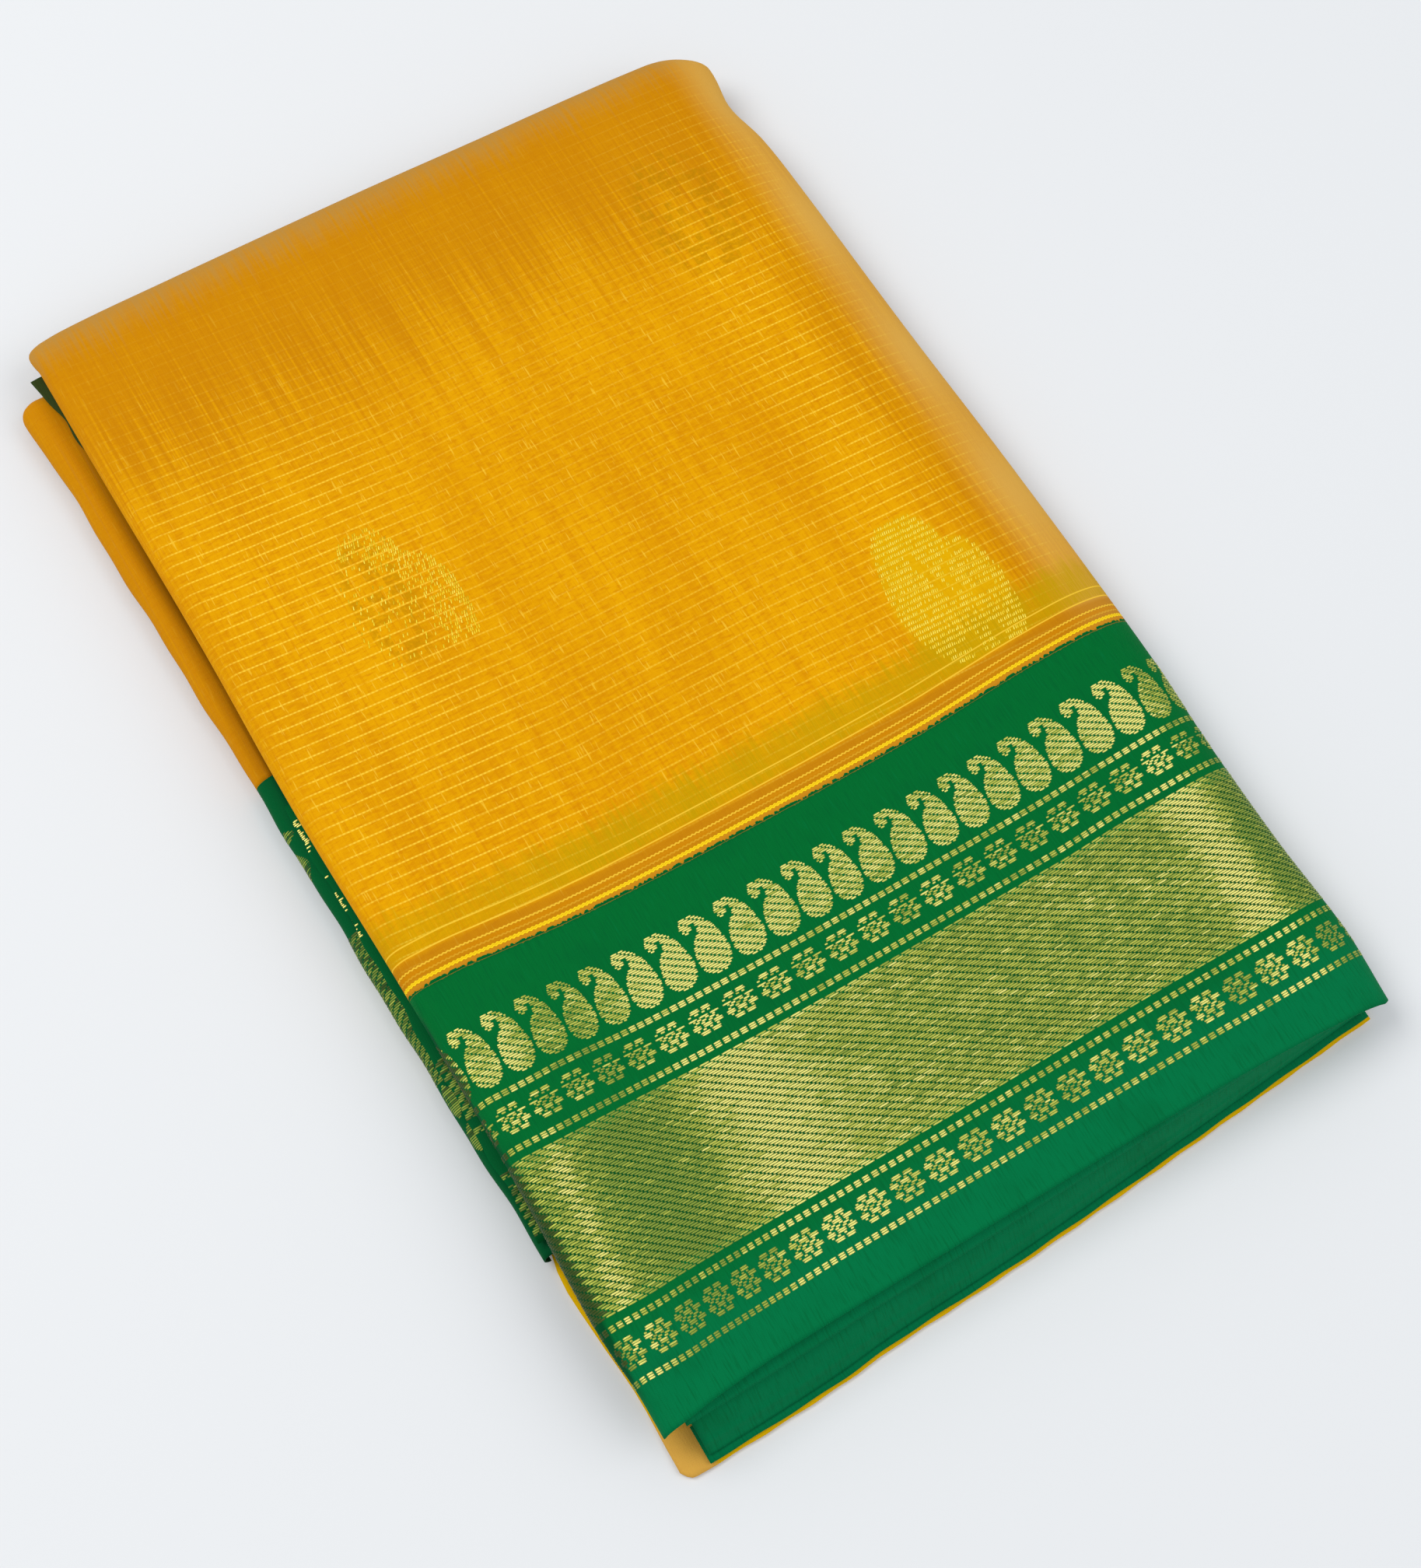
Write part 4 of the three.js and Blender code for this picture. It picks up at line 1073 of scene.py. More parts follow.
@dataclass
class Floats:
    """Gold floats collected for one joined mesh."""

    surface: Surface
    width: float = 0.5
    height: float = 0.2
    taper: float = 0.2
    clear: float = 0.02
    rows: list[tuple[Array, ...]] = field(default_factory=list)

    def add(self, left: Array, right: Array, level: Array, glint: Array, rise: Array | float = 0.0) -> None:
        """Adds floats.

        Args:
            left: Left end of each, in repeats of the border or in mm across.
            right: Right end of each.
            level: Place of each up from the selvedge.
            glint: Brightness of each as a painted highlight, 0 to 1.
            rise: How much further up each ends than it starts, in mm.
        """
        parts = np.broadcast_arrays(*(np.atleast_1d(np.asarray(p, float)) for p in (left, right, level, glint, rise)))
        self.rows.append(tuple(parts))

    def build(
        self, name: str, material: bpy.types.Material, slot: Slot, lay: Optional[BorderLay] = LAY
    ) -> bpy.types.Object:
        """Joins the floats into one mesh.

        Args:
            name: Name of the piece.
            material: Its finish.
            slot: Material slot of the record.
            lay: How the weave lies on the packet, or None where places are in mm already.

        Returns:
            The object.
        """
        left, right, level, glint, rise = (np.concatenate(part)[:, None] for part in zip(*self.rows))
        template = bmesh.new()
        bmesh.ops.create_grid(template, x_segments=4, y_segments=2, size=0.5)
        shape = np.array([vertex.co[:2] for vertex in template.verts])
        faces = np.array([[vertex.index for vertex in face.verts] for face in template.faces])
        template.free()
        along, across = shape[None, :, 0], shape[None, :, 1]
        ends = np.abs(2 * along) ** 6
        crest = (1 - ends) * (1 - (2 * across) ** 2)
        spread = across * (1 - self.taper * ends) * self.width
        length = np.hypot(right - left, rise)
        flat = rise == 0
        u = left + (right - left) * (along + 0.5) - np.where(flat, 0.0, spread * rise / length)
        v = level + rise * (along + 0.5) + np.where(flat, spread, spread * (right - left) / length)
        s, t = (u.ravel(), v.ravel()) if lay is None else lay.lay(u.ravel(), v.ravel())
        lift = np.tile(self.clear + crest[0] * self.height, len(left))
        points = to_world(self.surface.place(s, t, lift))
        count = len(shape)
        all_faces = (faces[None] + (np.arange(len(left)) * count)[:, None, None]).reshape(-1, faces.shape[1])
        mesh = bpy.data.meshes.new(name)
        mesh.from_pydata(points.tolist(), [], all_faces.tolist())
        for key, values in (("glint", np.repeat(glint.ravel(), count)), ("crest", np.tile(crest[0], len(left)))):
            layer = mesh.attributes.new(key, "FLOAT", "POINT")
            layer.data.foreach_set("value", values.astype(np.float32))
        return finish_object(name, mesh, material, slot)


@dataclass
class Zari:
    """The woven gold of the border: rows of motifs and dashes, and the wide band of twill."""

    surface: Surface
    finishes: Finishes
    thread: float = 0.6
    gap: float = 0.5
    shortest: float = 0.35
    jitter: float = 0.05
    level_jitter: float = 0.02
    wave_light: float = 0.06
    wave_lengths: Pair = (9.0, 5.0)
    seed: int = 7
    first_repeat: int = -1
    last_repeat: int = 25
    band_low: float = 30.1
    band_high: float = 75.8
    dash_rows: tuple[Triple, ...] = (
        (93.0, -0.33, 2.12), (78.4, -0.33, 2.05), (27.2, -1.55, 1.9), (12.9, -2.15, 1.95)
    )
    paisley_foot: float = 95.9
    paisley_shift: float = -0.04
    bulb_left: Curve = Curve(
        ((0, -1.8), (0.6, -3.2), (1.2, -4.1), (2, -4.7), (3, -5.1), (4.2, -5.3), (5.5, -5.2), (7, -4.9), (8.5, -4.5),
         (10, -3.8), (11.5, -2.8), (12.6, -1.7), (13.6, -1.0), (15.9, -0.7))
    )
    bulb_right: Curve = Curve(
        ((0, 1.2), (0.6, 2.3), (1.2, 3.1), (2, 3.9), (3, 4.4), (4.2, 4.8), (5.5, 5.1), (7, 5.2), (8.5, 5.0), (10, 4.8),
         (11.5, 4.6), (13, 4.2), (14.3, 3.8), (15.2, 3.3), (16, 2.7), (16.8, 2.0), (17.6, 1.0), (18.3, 0.1))
    )
    hook_left: Curve = Curve(((13.5, -3.6), (14.2, -4.6), (15.1, -5.1), (16, -5.1), (16.8, -4.8), (18.3, -4.1)))
    hook_right: Curve = Curve(((13.5, -2.5), (14.2, -1.7), (15.1, -1.3), (15.9, -1.5)))
    hook_low: float = 13.5
    hook_joins: float = 16.0
    paisley_top: float = 18.4
    flower_rows: tuple[tuple[float, ...], ...] = (
        (3.6, -3.0, -0.4, 0.4, 2.9), (3.05, -3.3, -0.3, 0.3, 3.1), (2.35, -4.2, -3.3, -2.3, -1.0, 0.0, 1.0, 1.7, 2.6),
        (1.2, -4.7, -2.1, -1.5, 1.3, 1.9, 4.6), (0.65, -3.6, -2.9, -2.4, -1.1, 0.1, 1.3, 2.3, 3.2),
        (0.1, -3.1, -1.9, -1.2, 0.2, 1.1, 2.9), (-0.45, -3.9, -3.0, -1.7, -0.5, 0.6, 1.9, 2.9, 3.7),
        (-1.05, -4.7, -2.2, -1.5, 1.2, 1.8, 4.5), (-1.6, -4.7, -2.2, -1.5, 1.2, 1.8, 4.5),
        (-2.25, -3.9, -3.1, -2.1, -1.1, 0.0, 0.9, 2.1, 3.0), (-3.0, -3.3, -0.4, 0.2, 3.0),
        (-3.55, -3.1, -0.5, 0.3, 2.8),
    )
    heavy_row: tuple[float, ...] = (1.75, -4.7, -2.2, -1.5, 1.3, 1.9, 4.6)
    short: float = 1.5
    short_dim: float = 0.25
    upper_flowers: Pair = (86.0, -0.12)
    lower_flowers: Pair = (20.1, 0.0)
    band_light: Curve = Curve(
        ((-135, 0.05), (-121, 0.2), (-114, 0.38), (-106, 0.34), (-100, 0.3), (-92, 0.15), (-85, 0.08), (-77, 0.2),
         (-70, 0.38), (-62, 0.7), (-52, 1.0), (-45, 0.95), (-36, 0.75), (-25, 0.6), (-10, 0.5), (30, 0.45),
         (75, 0.45), (85, 0.48), (91, 0.7), (97, 1.0), (101, 0.95), (105, 0.62), (109, 0.22), (116, 0.14),
         (150, 0.05))
    )
    crest_at: float = -105.9
    crest_slant: float = 0.075
    crest_level: float = 54.0
    crest_wide: float = 3.2
    crest_light: float = 0.45
    least_light: float = 0.14

    def __post_init__(self) -> None:
        """Starts the random draws."""
        self.random = np.random.default_rng(self.seed)

    def _glint(self, u: Array, level: Array | float, spread: float = 0.14, lift: float = 0.0) -> Array:
        """Brightness of floats from where they lie: painted highlights along the crests of the cloth, and painted shade
        on the left side.
        """
        u = np.atleast_1d(u)
        s, t = LAY.lay(u, np.broadcast_to(level, u.shape).astype(float))
        away = s - self.crest_at - self.crest_slant * (t - self.crest_level)
        light = self.band_light.at(s) + self.crest_light * np.exp(-((away / self.crest_wide) ** 2)) + lift
        light = np.clip(light + self.random.normal(0, spread, u.size), self.least_light, 1)
        return light * (1 - side_shade(s, t))

    def build(self) -> list[bpy.types.Object]:
        """Makes all the gold of the border."""
        return [self._band(), self._motifs()]

    def _band(self) -> bpy.types.Object:
        """The wide band: floats of one length, each row shifted, so that the binding points run in diagonals."""
        floats = Floats(self.surface)
        levels = np.arange(self.band_low + self.thread / 2, self.band_high, self.thread)
        for k, level in enumerate(levels):
            starts = np.arange(self.first_repeat * PITCH, self.last_repeat * PITCH, TWILL_PERIOD)
            starts = starts - (k * TWILL_SHIFT) % TWILL_PERIOD
            starts = starts + self.random.normal(0, self.jitter, starts.size)
            ends = starts + TWILL_PERIOD - self.gap
            level_here = level + self.random.normal(0, self.level_jitter, starts.size)
            wave = self.wave_light * np.sin(starts / self.wave_lengths[0] + level / self.wave_lengths[1])
            glint = self._glint(starts / PITCH, level) * (1 + wave)
            floats.add(starts / PITCH, ends / PITCH, level_here, glint)
        return floats.build("gold_band", self.finishes.gold, Slot.BORDER)

    def _cut(self, left: float, right: float, row: int) -> list[Pair]:
        """Cuts one row of a motif at the binding points of the twill.

        Args:
            left: Left end of the row, in mm.
            right: Right end of the row, in mm.
            row: Number of the row.

        Returns:
            Ends of each float.
        """
        phase = -(row * TWILL_SHIFT) % TWILL_PERIOD
        first = math.floor((left - phase) / TWILL_PERIOD)
        edges = [left]
        while (edge := first * TWILL_PERIOD + phase) < right:
            if edge > left:
                edges.append(edge)
            first += 1
        edges.append(right)
        pairs = [(a + self.gap / 2, b - self.gap / 2) for a, b in zip(edges, edges[1:])]
        return [pair for pair in pairs if pair[1] - pair[0] > self.shortest]

    def _paisley(self, floats: Floats, centre: float) -> None:
        """One paisley whose hooked tip curls to the left."""
        for row, up in enumerate(np.arange(0.15, self.paisley_top, self.thread)):
            runs = [(float(self.bulb_left.at(up)), float(self.bulb_right.at(up)))]
            if self.hook_low <= up < self.hook_joins:
                runs.append((float(self.hook_left.at(up)), float(self.hook_right.at(up))))
            elif up >= self.hook_joins:
                runs = [(float(self.hook_left.at(up)), runs[0][1])]
            for left, right in runs:
                for start, end in self._cut(left, right, row):
                    jog = self.random.normal(0, self.jitter)
                    u = centre + (start + jog) / PITCH
                    glint = self._glint(u, LAY.upper_row, 0.16, 0.3)
                    floats.add(u, centre + (end + jog) / PITCH, self.paisley_foot + up, glint)

    def _flower(self, floats: Floats, centre: float, level: float, light: float) -> None:
        """One flower with its petals around a small heart; the lower ones have one thread more."""
        rows = self.flower_rows if level > self.band_low else (*self.flower_rows, self.heavy_row)
        for up, *ends in rows:
            for start, end in zip(ends[::2], ends[1::2]):
                u = centre + start / PITCH
                dim = self.short_dim if end - start < self.short else 0.0
                floats.add(u, centre + end / PITCH, level + up, self._glint(u, level, 0.14, light - dim))

    def _motifs(self) -> bpy.types.Object:
        """Paisleys, flowers and rows of dashes."""
        floats = Floats(self.surface)
        for repeat in range(self.first_repeat, self.last_repeat):
            self._paisley(floats, repeat + self.paisley_shift)
            for level, shift in (self.upper_flowers, self.lower_flowers):
                light = float(self.random.normal(0.15, 0.12))
                self._flower(floats, repeat + shift, level, light)
            for level, shift, long in self.dash_rows:
                for dash in range(4):
                    start = repeat * PITCH + shift + dash * PITCH / 4 + self.random.normal(0, self.jitter)
                    light = float(self.random.normal(0.15, 0.1))
                    for thread in (-1, 0, 1):
                        u = start / PITCH
                        here = level + thread * self.thread
                        floats.add(u, (start + long) / PITCH, here, self._glint(u, level, 0.1, light))
        return floats.build("gold_motifs", self.finishes.gold, Slot.BORDER)


@dataclass
class Mangoes:
    """Large mango motifs of the body, in rows of short slanted gold ticks."""

    surface: Surface
    finishes: Finishes
    left: Curve = MANGO_LEFT
    right: Curve = MANGO_RIGHT
    row_pitch: float = 1.95
    faint_pitch: float = 1.22
    tick: float = 1.15
    lean: float = 0.42
    step: float = 0.66
    bright_seed: int = 3
    faint_seed: int = 4

    def build(self) -> bpy.types.Object:
        """Makes the bright mango on the right and the half-bright one on the left."""
        floats = Floats(self.surface, width=0.36, height=0.2)
        self._bright(floats, *BRIGHT_MANGO)
        self._faint(floats, *FAINT_MANGO)
        return floats.build("body_gold", self.finishes.body_gold, Slot.BODY, lay=None)

    def _ticks(self, floats: Floats, random: np.random.Generator, s: Array, t: Array, light: float) -> None:
        """Adds ticks that lean to the right."""
        if s.size:
            s = s + random.normal(0, 0.05, s.size)
            t = t + random.normal(0, 0.08, s.size)
            glint = np.clip(random.normal(light, 0.2, s.size), 0, 1)
            floats.add(s, s + self.lean, t, glint, random.normal(self.tick, 0.12, s.size))

    def _bright(self, floats: Floats, middle_x: float, middle_y: float) -> None:
        """The mango whose whole ground is covered, with a leaf, a heart and two feet left open in it."""
        random = np.random.default_rng(self.bright_seed)
        for up in np.arange(-24.6, 25.0, self.row_pitch):
            places = np.arange(float(self.left.at(up)), float(self.right.at(up)), self.step)
            heart = np.hypot((places - 9.5) / 6.5, (up - 0.5) / 7.0)
            vein = np.abs(places + 1.5 + 0.25 * (up - 2)) < 1.1
            keep = random.random(places.size) < 0.9
            keep &= ~(vein & (-7 < up < 14))
            keep &= ~((heart > 0.94) & (heart < 1.2) & (places < 14))
            keep &= ~((up < -17) & (np.abs(np.abs(places - 1.5) - 4.0) < 1.6))
            keep &= ~((up < -17) & (np.hypot((places + 6.5) / 2.2, (up + 20.5) / 1.6) < 0.9))
            places = places[keep]
            self._ticks(floats, random, middle_x + places, middle_y + up - 0.03 * places, 0.72)

    def _faint(self, floats: Floats, middle_x: float, middle_y: float) -> None:
        """The mango that shows as dark cells, with ticks only along its right side and its top."""
        random = np.random.default_rng(self.faint_seed)
        for up in np.arange(-20.0, 25.6, self.faint_pitch):
            low, high = float(self.left.at(up)), float(self.right.at(up)) - 1.5
            places = np.arange(low, high, self.step)
            edge = high - places
            keep = np.where(edge < 2.6, 0.85, np.where(edge < 12, 0.45, 0.12))
            keep = np.where(up > 19, 0.5, keep)
            places = places[random.random(places.size) < keep]
            self._ticks(floats, random, middle_x + places, middle_y + up - 0.05 * places, 0.55)


@dataclass
class FrontPlies(ClothPart):
    """The plies that show at the front under the top one, down to the bottom ply."""

    second_depth: float = 1.68
    third_depth: float = 3.16
    ridge: Pair = (-1.22, 0.07)
    fourth_left: float = -106.5
    fourth_size: Pair = (221.0, 10.8)
    fourth_top: float = 2.5
    bottom_top: float = 1.2
    bottom_back: float = 372.0
    bottom_right: float = 115.0

    def build(self) -> list[bpy.types.Object]:
        """Makes the second, third, fourth and bottom plies."""
        return [self._second(), self._third(), self._fourth(), self._bottom()]

    def _columns(self, left: float, right: float) -> Array:
        """Stations across from one X to another."""
        flat = FORM.flat_right - FORM.flat_left
        into = math.asin((right - FORM.flat_right) / FORM.right.wide)
        return steps(((left - FORM.flat_left) / flat, 1, 90), (1, 1 + into, 6))

    def _sheet(
        self, name: str, point: Callable[[Array, Array], Array], across: Array, along: Array, slot: Slot = Slot.BORDER
    ) -> bpy.types.Object:
        """One sheet over a surface."""
        surface = Surface(point, across, along)
        cloth = np.stack([surface.s, surface.t - surface.t[:, :1]], -1)
        body = slot is Slot.BODY
        corner = smooth(-surface.points[..., 0], 104, 106) * smooth(surface.points[..., 1], 3, -1)
        values = {
            "row": np.full_like(surface.s, BESIDE if body else -BESIDE), "line": surface.t,
            "ground": 1.6 * (1 - corner), "pale": corner,
        }
        material, part = (self.finishes.body, "body") if body else (self.finishes.inner_border, "border")
        return self.dress(name, surface, cloth, values, material, slot, f"{name}_{part}")

    def _second(self) -> bpy.types.Object:
        """Second ply: its selvedge is a thin line in front of the top one."""

        def point(a: Array, b: Array) -> Array:
            """Points of the ply, which waves a little."""
            points = FORM.front_ply(a, b, self.second_depth, 1.6)
            points[..., 2] += 0.18 * np.sin(points[..., 0] / 17.0) * np.maximum(-b, 0)
            return points

        return self._sheet("second_ply", point, self._columns(-109.2, 115.0), steps((-0.6, 0, 6), (0, 0.035, 3)))

    def _third(self) -> bpy.types.Object:
        """Third ply: a smooth green face down to the front, with a ridge near its foot."""

        def point(a: Array, b: Array) -> Array:
            """Points of the ply with its ridge and small waves."""
            points = FORM.front_ply(a, b, self.third_depth, 0.0)
            at, wide = self.ridge
            ridge = np.exp(-(((b - at) / wide) ** 2))
            points[..., 2] += 0.35 * ridge + 0.15 * np.sin(points[..., 0] / 11.0) * np.sin(np.clip(-b, 0, 1.5) * 2)
            points[..., 1] -= 0.25 * ridge
            points[..., 0] += 1.9 * np.maximum(-b, 0) / FORM.slope_end * (1 - np.clip(a, 0, 1)) ** 12
            return points

        return self._sheet("third_ply", point, self._columns(-108.5, 115.2), steps((-1.5, 0, 28), (0, 0.035, 3)))

    def _fourth(self) -> bpy.types.Object:
        """Fourth ply: a flat edge just above the bottom ply."""

        def point(a: Array, b: Array) -> Array:
            """Points of the flat edge."""
            wide, long = self.fourth_size
            x = self.fourth_left + wide * a
            y = FORM.lower_selvedge.at(x) + long * b + 0.12 * np.sin(x / 3.1) * (1 - b)
            return np.stack([x, y, self.fourth_top - 0.12 * (1 - b) ** 3], -1)

        return self._sheet("fourth_ply", point, steps((0, 1, 110)), steps((0, 1, 5)))

    def _bottom(self) -> bpy.types.Object:
        """Bottom ply: flat on the surface, with its corner standing out in front on the left."""

        def point(a: Array, b: Array) -> Array:
            """Points of the ply between its wavy front and its left edge."""
            up = self.bottom_back * b
            left = FORM.bottom_left_edge.at(up) + np.exp(-(((up - 36) / 26) ** 2))
            x = left + (self.bottom_right - left) * a
            front = FORM.lower_selvedge.at(x) - 0.8 + 0.12 * np.sin(x / 2.3) + 4.2 * smooth(-x, 110.5, 115.5) ** 2
            y = front + (self.bottom_back - front) * b
            x = x + 0.25 * np.sin(y / 6.0) * (1 - a) ** 8
            return np.stack([x, y, np.full_like(x, self.bottom_top)], -1)

        across = steps((0, 0.06, 12), (0.06, 1, 60))
        return self._sheet("bottom_ply", point, across, steps((0, 0.03, 6), (0.03, 1, 60)), Slot.BODY)


@dataclass
class LowerFold(ClothPart):
    """The fold that stands out on the left under the upper one, and the inner plies above it."""

    past_band: float = 60.0
    gold_seed: int = 11
    gap_seed: int = 12
    row_pitch: float = 0.62
    twill_float: float = 3.0
    twill_rows: Pair = (111.0, 161.0)
    patches: tuple[Triple, ...] = (
        (99, 110, -119.0), (181.5, 191, -123.5), (194.5, 198.5, -123.0), (88, 97, -118.0)
    )
    patch_half: float = 3.4
    fold_reach: Pair = (-131.0, -108.0)
    gap_reach: Pair = (-119.5, -110.0)
    gap_pitch: float = 0.6
    gap_ends: tuple[Pair, ...] = ((186.6, 198.7), (179.0, 180.2), (167.4, 174.4), (158.5, 164.3))
    gap_twill: tuple[Pair, ...] = ((60.0, 75.5), (77.6, 79.2), (92.4, 94.0), (97.0, 116.0))
    front_strip: Pair = (58.0, 204.0)
    back_strip: Pair = (300.0, 369.0)
    inner_right: float = -106.8
    inner_top: float = 11.6
    inner: list[Surface] = field(default_factory=list)

    def __post_init__(self) -> None:
        """Samples the surface on which the floats are laid."""
        across = steps((-FORM.lower_turn.end, 0, 18), (0, 1, 6))
        self.surface = Surface(self._point, across, steps((0, 1, 120), (1, 3.1, 10)))

    @staticmethod
    def _point(a: Array, b: Array) -> Array:
        """Points of the fold with small waves along its edge."""
        points = FORM.lower(a, b)
        wave = 0.35 * np.sin(points[..., 1] / 8.3) + 0.25 * np.sin(points[..., 1] / 3.7 + 1.0)
        points[..., 0] += wave * np.clip(-a, 0, 1.5) / 1.5 * 0.6 - 0.9 * smooth(-a, 0.2, 1.2)
        points[..., 2] += 0.2 * np.sin(points[..., 1] / 13.0)
        return points

    def build(self) -> list[bpy.types.Object]:
        """Makes the fold's two sheets, the inner plies and the gold on the fold."""
        body = steps((JOIN_SHARE, 1, 90), (1, 1 + FORM.lower_back_turn.end, 10))
        green = self.finishes.lower_border
        return [
            self._sheet("lower_cloth_body", body, self.finishes.body, Slot.BODY, "lower_fold_body"),
            self._sheet("lower_cloth_border", steps((0, JOIN_SHARE, 110)), green, Slot.BORDER, "lower_fold_border"),
            self._inner_ply("inner_ply_front", *self.front_strip, green),
            # The back inner ply is painted dark as shade in the gap.
            self._inner_ply("inner_ply_back", *self.back_strip, self.finishes.gap_shade_border),
            self._gold(),
            self._gap_gold(),
        ]

    def _sheet(self, name: str, along: Array, material: bpy.types.Material, slot: Slot, node: str) -> bpy.types.Object:
        """One sheet of the fold."""
        surface = Surface(self._point, steps((-FORM.lower_turn.end, 0, 14), (0, 1, 3)), along)
        x = surface.points[..., 0]
        shade = 0.25 * smooth(x, -122.5, -119.0) + 0.6 * smooth(x, -118.8, -116.8)
        # The turn value of 0.5 paints browner shade over the whole fold.
        values = {
            "row": np.full_like(x, BESIDE if slot is Slot.BODY else -BESIDE), "line": surface.t,
            "strength": np.full_like(x, 0.15), "turn_shade_sheen": np.full_like(x, 0.5), "shade": shade,
        }
        cloth = np.stack([surface.s, surface.t + self.past_band], -1)
        return self.dress(name, surface, cloth, values, material, slot, node)

    def _inner_ply(self, name: str, front: float, back: float, material: bpy.types.Material) -> bpy.types.Object:
        """A folded green edge between the two folds, from one Y to another."""

        def point(a: Array, b: Array) -> Array:
            """Points of the edge, which waves and stands back at the far corner."""
            y = front + (back - front) * b
            edge = FORM.inner_left_edge.at(y) + 0.35 * np.sin(y / 5.1) + 0.25 * np.sin(y / 2.3)
            edge = edge + 3.0 * smooth(y, 368, 350) * smooth(y, 250, 300)
            x = edge + (self.inner_right - edge) * a
            return np.stack([x, y, self.inner_top - 0.5 * (1 - a) ** 6 + 0.1 * np.sin(y / 7.0)], -1)

        surface = Surface(point, steps((0, 0.2, 5), (0.2, 1, 4)), steps((0, 1, 60)))
        self.inner.append(surface)
        cloth = np.stack([surface.s, surface.t], -1)
        row = {"row": np.full_like(surface.s, -BESIDE)}
        piece = self.dress(name, surface, cloth, row, material, Slot.BORDER, f"{name}_border")
        self.flats[name] = (self.flats[name][0], round((back - front) * MM, 3))
        return piece

    def _gold(self) -> bpy.types.Object:
        """Dull floats of the border where it runs round the lower fold."""
        random = np.random.default_rng(self.gold_seed)
        floats = Floats(self.surface, width=0.46, height=0.14)
        for row, level in enumerate(np.arange(*self.twill_rows, self.row_pitch)):
            left = np.arange(*self.fold_reach, TWILL_PERIOD) + (row * TWILL_SHIFT) % TWILL_PERIOD
            floats.add(left, left + self.twill_float, level, np.clip(random.normal(0.12, 0.1, left.size), 0, 1))
        for low, high, centre in self.patches:
            for level in np.arange(low, high, self.row_pitch):
                half = self.patch_half * math.sin(math.pi * (level - low) / (high - low))
                floats.add(centre - half, centre + half, level, np.clip(random.normal(0.15, 0.1), 0, 1))
        return floats.build("lower_gold", self.finishes.gold, Slot.BORDER, lay=None)

    def _gap_gold(self) -> bpy.types.Object:
        """Gold of the inner ply: ends of floats with painted highlights in the gap, and dull twill with painted shade
        by the border.
        """
        random = np.random.default_rng(self.gap_seed)
        floats = Floats(self.inner[0], width=0.5, height=0.14)
        for low, high in self.gap_ends:
            level = np.arange(low, high, self.gap_pitch)
            left = self.inner[0].s[0].min() + random.uniform(0.2, 1.0, level.size)
            keep = random.random(level.size) < 0.8
            floats.add(left[keep], left[keep] + random.uniform(0.6, 1.8, keep.sum()), level[keep], 0.95)
        for low, high in self.gap_twill:
            for row, level in enumerate(np.arange(low, high, self.gap_pitch)):
                left = np.arange(*self.gap_reach, TWILL_PERIOD) + (row * TWILL_SHIFT) % TWILL_PERIOD
                floats.add(left, left + self.twill_float, level, random.uniform(0.0, 0.12, left.size))
        return floats.build("gap_gold", self.finishes.gold, Slot.BORDER, lay=None)


@dataclass
class InnerLayers(ClothPart):
    """Folded edges of the hidden layers, seen at the sides between the top fold and the bottom ply."""

    low: float = 1.3
    high: float = 15.0
    folds: int = 9
    sides: tuple[float, float, float, float] = (-109.0, 112.2, 4.5, 370.0)
    corner: float = 7.0
    columns: int = 420
    rows: int = 90
    arc_steps: int = 16
    bulge: float = 1.5

    def build(self) -> bpy.types.Object:
        """Makes the ribbon of folded edges round the packet."""
        path = self._path()
        up = np.linspace(0, 1, self.rows)
        points = self._points(path[:, None, :], up[None, :])
        run = np.concatenate([[0], np.cumsum(np.linalg.norm(np.diff(points[:, 0], axis=0), axis=-1))])
        cloth = np.stack(np.broadcast_arrays(run[:, None], up[None, :] * (self.high - self.low)), -1)
        mesh = grid_mesh("inner_folds", to_world(points), cloth, {"green": smooth(points[..., 1], 132, 126)})
        piece = finish_object("inner_folds", mesh, self.finishes.stack, Slot.INNER, ("hidden_layers",))
        developed = float(np.linalg.norm(np.diff(points, axis=1), axis=-1).sum(axis=1).mean())
        self.flats[piece.name] = (round(float(run[-1]) * MM, 3), round(developed * MM, 3))
        return piece

    def _path(self) -> Array:
        """Outline of the stack with rounded corners: X, Y and the direction out, at even steps."""
        left, right, front, back = self.sides
        middles = ((right, front), (right, back), (left, back), (left, front), (right, front))
        corners = []
        for turn, (x, y) in enumerate(middles):
            count, sweep = (self.arc_steps, 90) if turn < len(middles) - 1 else (1, 0)
            angle = np.radians(np.linspace(90 * turn - 90, 90 * turn - 90 + sweep, count))
            middle_x = x - math.copysign(self.corner, x)
            middle_y = y - self.corner if y > front else y + self.corner
            arc = (middle_x + self.corner * np.cos(angle), middle_y + self.corner * np.sin(angle))
            corners.append(np.stack([*arc, np.cos(angle), np.sin(angle)], -1))
        path = np.concatenate(corners)
        run = np.concatenate([[0], np.cumsum(np.hypot(*np.diff(path[:, :2], axis=0).T))])
        even = np.linspace(0, run[-1], self.columns)
        return np.stack([np.interp(even, run, path[:, k]) for k in range(4)], -1)

    def _points(self, path: Array, b: Array) -> Array:
        """Points of the ribbon, whose folds bulge out one above the other."""
        x, y, out_x, out_y = (path[..., k] for k in range(4))
        phase = b * self.folds
        count = np.floor(phase)
        bulge = np.sqrt(np.abs(np.sin(np.pi * (phase - count)))) * self.bulge
        reach = 0.9 * np.sin(count * 2.4 + x / 61.0) * np.cos(y / 83.0 + count)
        ahead = np.maximum(-out_y, 0)
        amount = (1 - ahead) * (bulge + reach) + ahead * 0.2 * bulge
        z = self.low + (self.high - self.low) * b + 0.25 * np.sin(x / 24.0 + count) * np.sin(y / 31.0 + count)
        z = np.clip(z, self.low, self.high)
        return np.stack([x + out_x * amount, y + out_y * amount, z], -1)


# ---- Camera, light and floor -------------------------------------------------------------------------------------


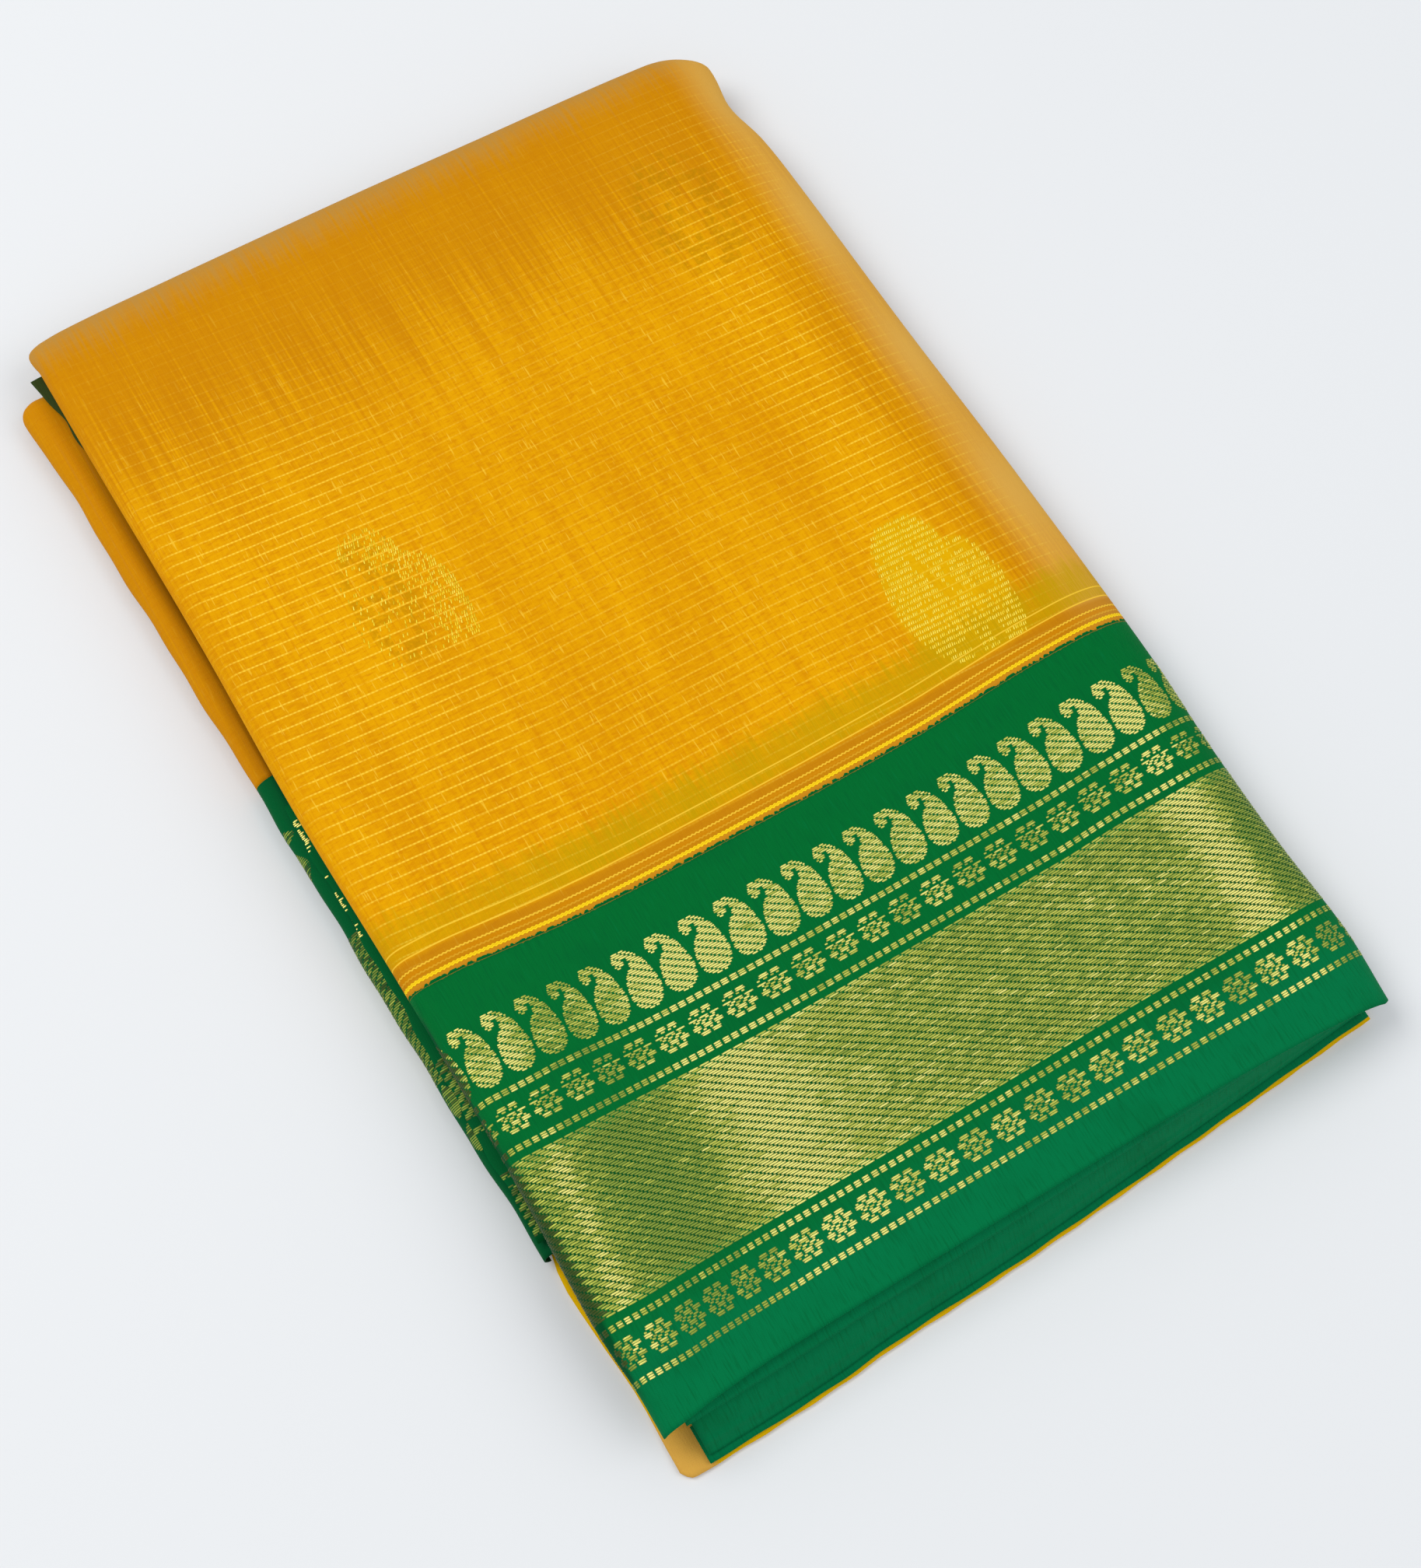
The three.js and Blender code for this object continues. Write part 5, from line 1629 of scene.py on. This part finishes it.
@dataclass
class Studio:
    """The camera at the photograph's angle, soft light and a pale floor."""

    place: Triple = (-164.8, -88.4, 664.6)
    forward: Triple = (0.21663472, 0.3333103, -0.91759122)
    up: Triple = (0.46292396, 0.79244996, 0.3971454)
    right: Triple = (0.85951777, -0.51081044, 0.01737485)
    lens: float = 57.14
    lamps: tuple[tuple[str, Triple, float, float, Triple], ...] = (
        ("key", (-0.9, 0.7, 1.6), 1.3, 17.0, (1.0, 0.985, 0.96)),
        ("fill", (1.2, -0.9, 1.5), 1.8, 11.0, (0.97, 0.985, 1.0)),
    )
    sky: Colour = (0.95, 0.97, 1.0)
    sky_power: float = 0.62
    floor_size: float = 6.0
    floor_colour: Colour = (0.80, 0.815, 0.83)

    def build(self) -> None:
        """Makes the camera, the lights, the world and the floor."""
        scene = bpy.context.scene
        data = bpy.data.cameras.new("camera")
        data.lens = self.lens
        data.sensor_width = 36.0
        data.sensor_fit = "AUTO"
        data.clip_start = 0.01
        camera = bpy.data.objects.new("camera", data)
        turn = Matrix((self.right, self.up, tuple(-c for c in self.forward))).transposed()
        camera.matrix_world = Matrix.Translation(Vector(to_world(np.array(self.place)))) @ turn.to_4x4()
        scene.collection.objects.link(camera)
        scene.camera = camera
        scene.view_settings.view_transform = "Standard"
        for name, place, size, power, colour in self.lamps:
            self._light(name, place, size, power, colour)
        world = bpy.data.worlds.new("world")
        scene.world = world
        world.use_nodes = True
        background = world.node_tree.nodes["Background"]
        background.inputs["Color"].default_value = (*self.sky, 1.0)
        background.inputs["Strength"].default_value = self.sky_power
        self._floor()

    def _light(self, name: str, place: Triple, size: float, power: float, colour: Triple) -> None:
        """One soft lamp that looks at the packet."""
        data = bpy.data.lights.new(name, "AREA")
        data.shape = "DISK"
        data.size = size
        data.energy = power
        data.color = colour
        lamp = bpy.data.objects.new(name, data)
        lamp.location = place
        lamp.rotation_euler = (-Vector(place)).to_track_quat("-Z", "Y").to_euler()
        bpy.context.scene.collection.objects.link(lamp)

    def _floor(self) -> None:
        """The pale surface that the packet lies on."""
        sheet = bmesh.new()
        bmesh.ops.create_grid(sheet, x_segments=1, y_segments=1, size=self.floor_size / 2)
        mesh = bpy.data.meshes.new("floor")
        sheet.to_mesh(mesh)
        sheet.free()
        floor = bpy.data.objects.new("floor", mesh)
        bpy.context.scene.collection.objects.link(floor)
        material = bpy.data.materials.new("pale_floor")
        material.use_nodes = True
        shader = material.node_tree.nodes["Principled BSDF"]
        shader.inputs["Base Color"].default_value = (*self.floor_colour, 1.0)
        shader.inputs["Roughness"].default_value = 0.9
        shader.inputs["Specular IOR Level"].default_value = 0.1
        mesh.materials.append(material)


def report(*pieces: bpy.types.Object) -> None:
    """Reports pieces through logging."""
    for piece in pieces:
        LOG.info("%s: %d faces", piece.name, len(piece.data.polygons))


def main() -> None:
    """Builds the sub-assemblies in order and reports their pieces."""
    logging.basicConfig(level=logging.INFO, format="%(message)s")
    Studio().build()
    finishes = Finishes()
    upper = UpperFold(finishes)
    body, border = upper.build()
    gold = Zari(upper.surface, finishes).build()
    mangoes = Mangoes(upper.surface, finishes).build()
    report(body, border, *gold, mangoes)
    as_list(gold)
    front = FrontPlies(finishes)
    for piece in front.build():
        report(piece)
    lower = LowerFold(finishes)
    *pieces, lower_gold, gap_gold = lower.build()
    report(*pieces, lower_gold, gap_gold)
    carried = {"lower_cloth_border": [lower_gold], "inner_ply_front": [gap_gold]}
    for piece in pieces:
        extra = carried.get(piece.name, [])
        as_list(extra)
    layers = InnerLayers(finishes)
    folds = layers.build()
    report(folds)


if __name__ == "__main__":
    main()
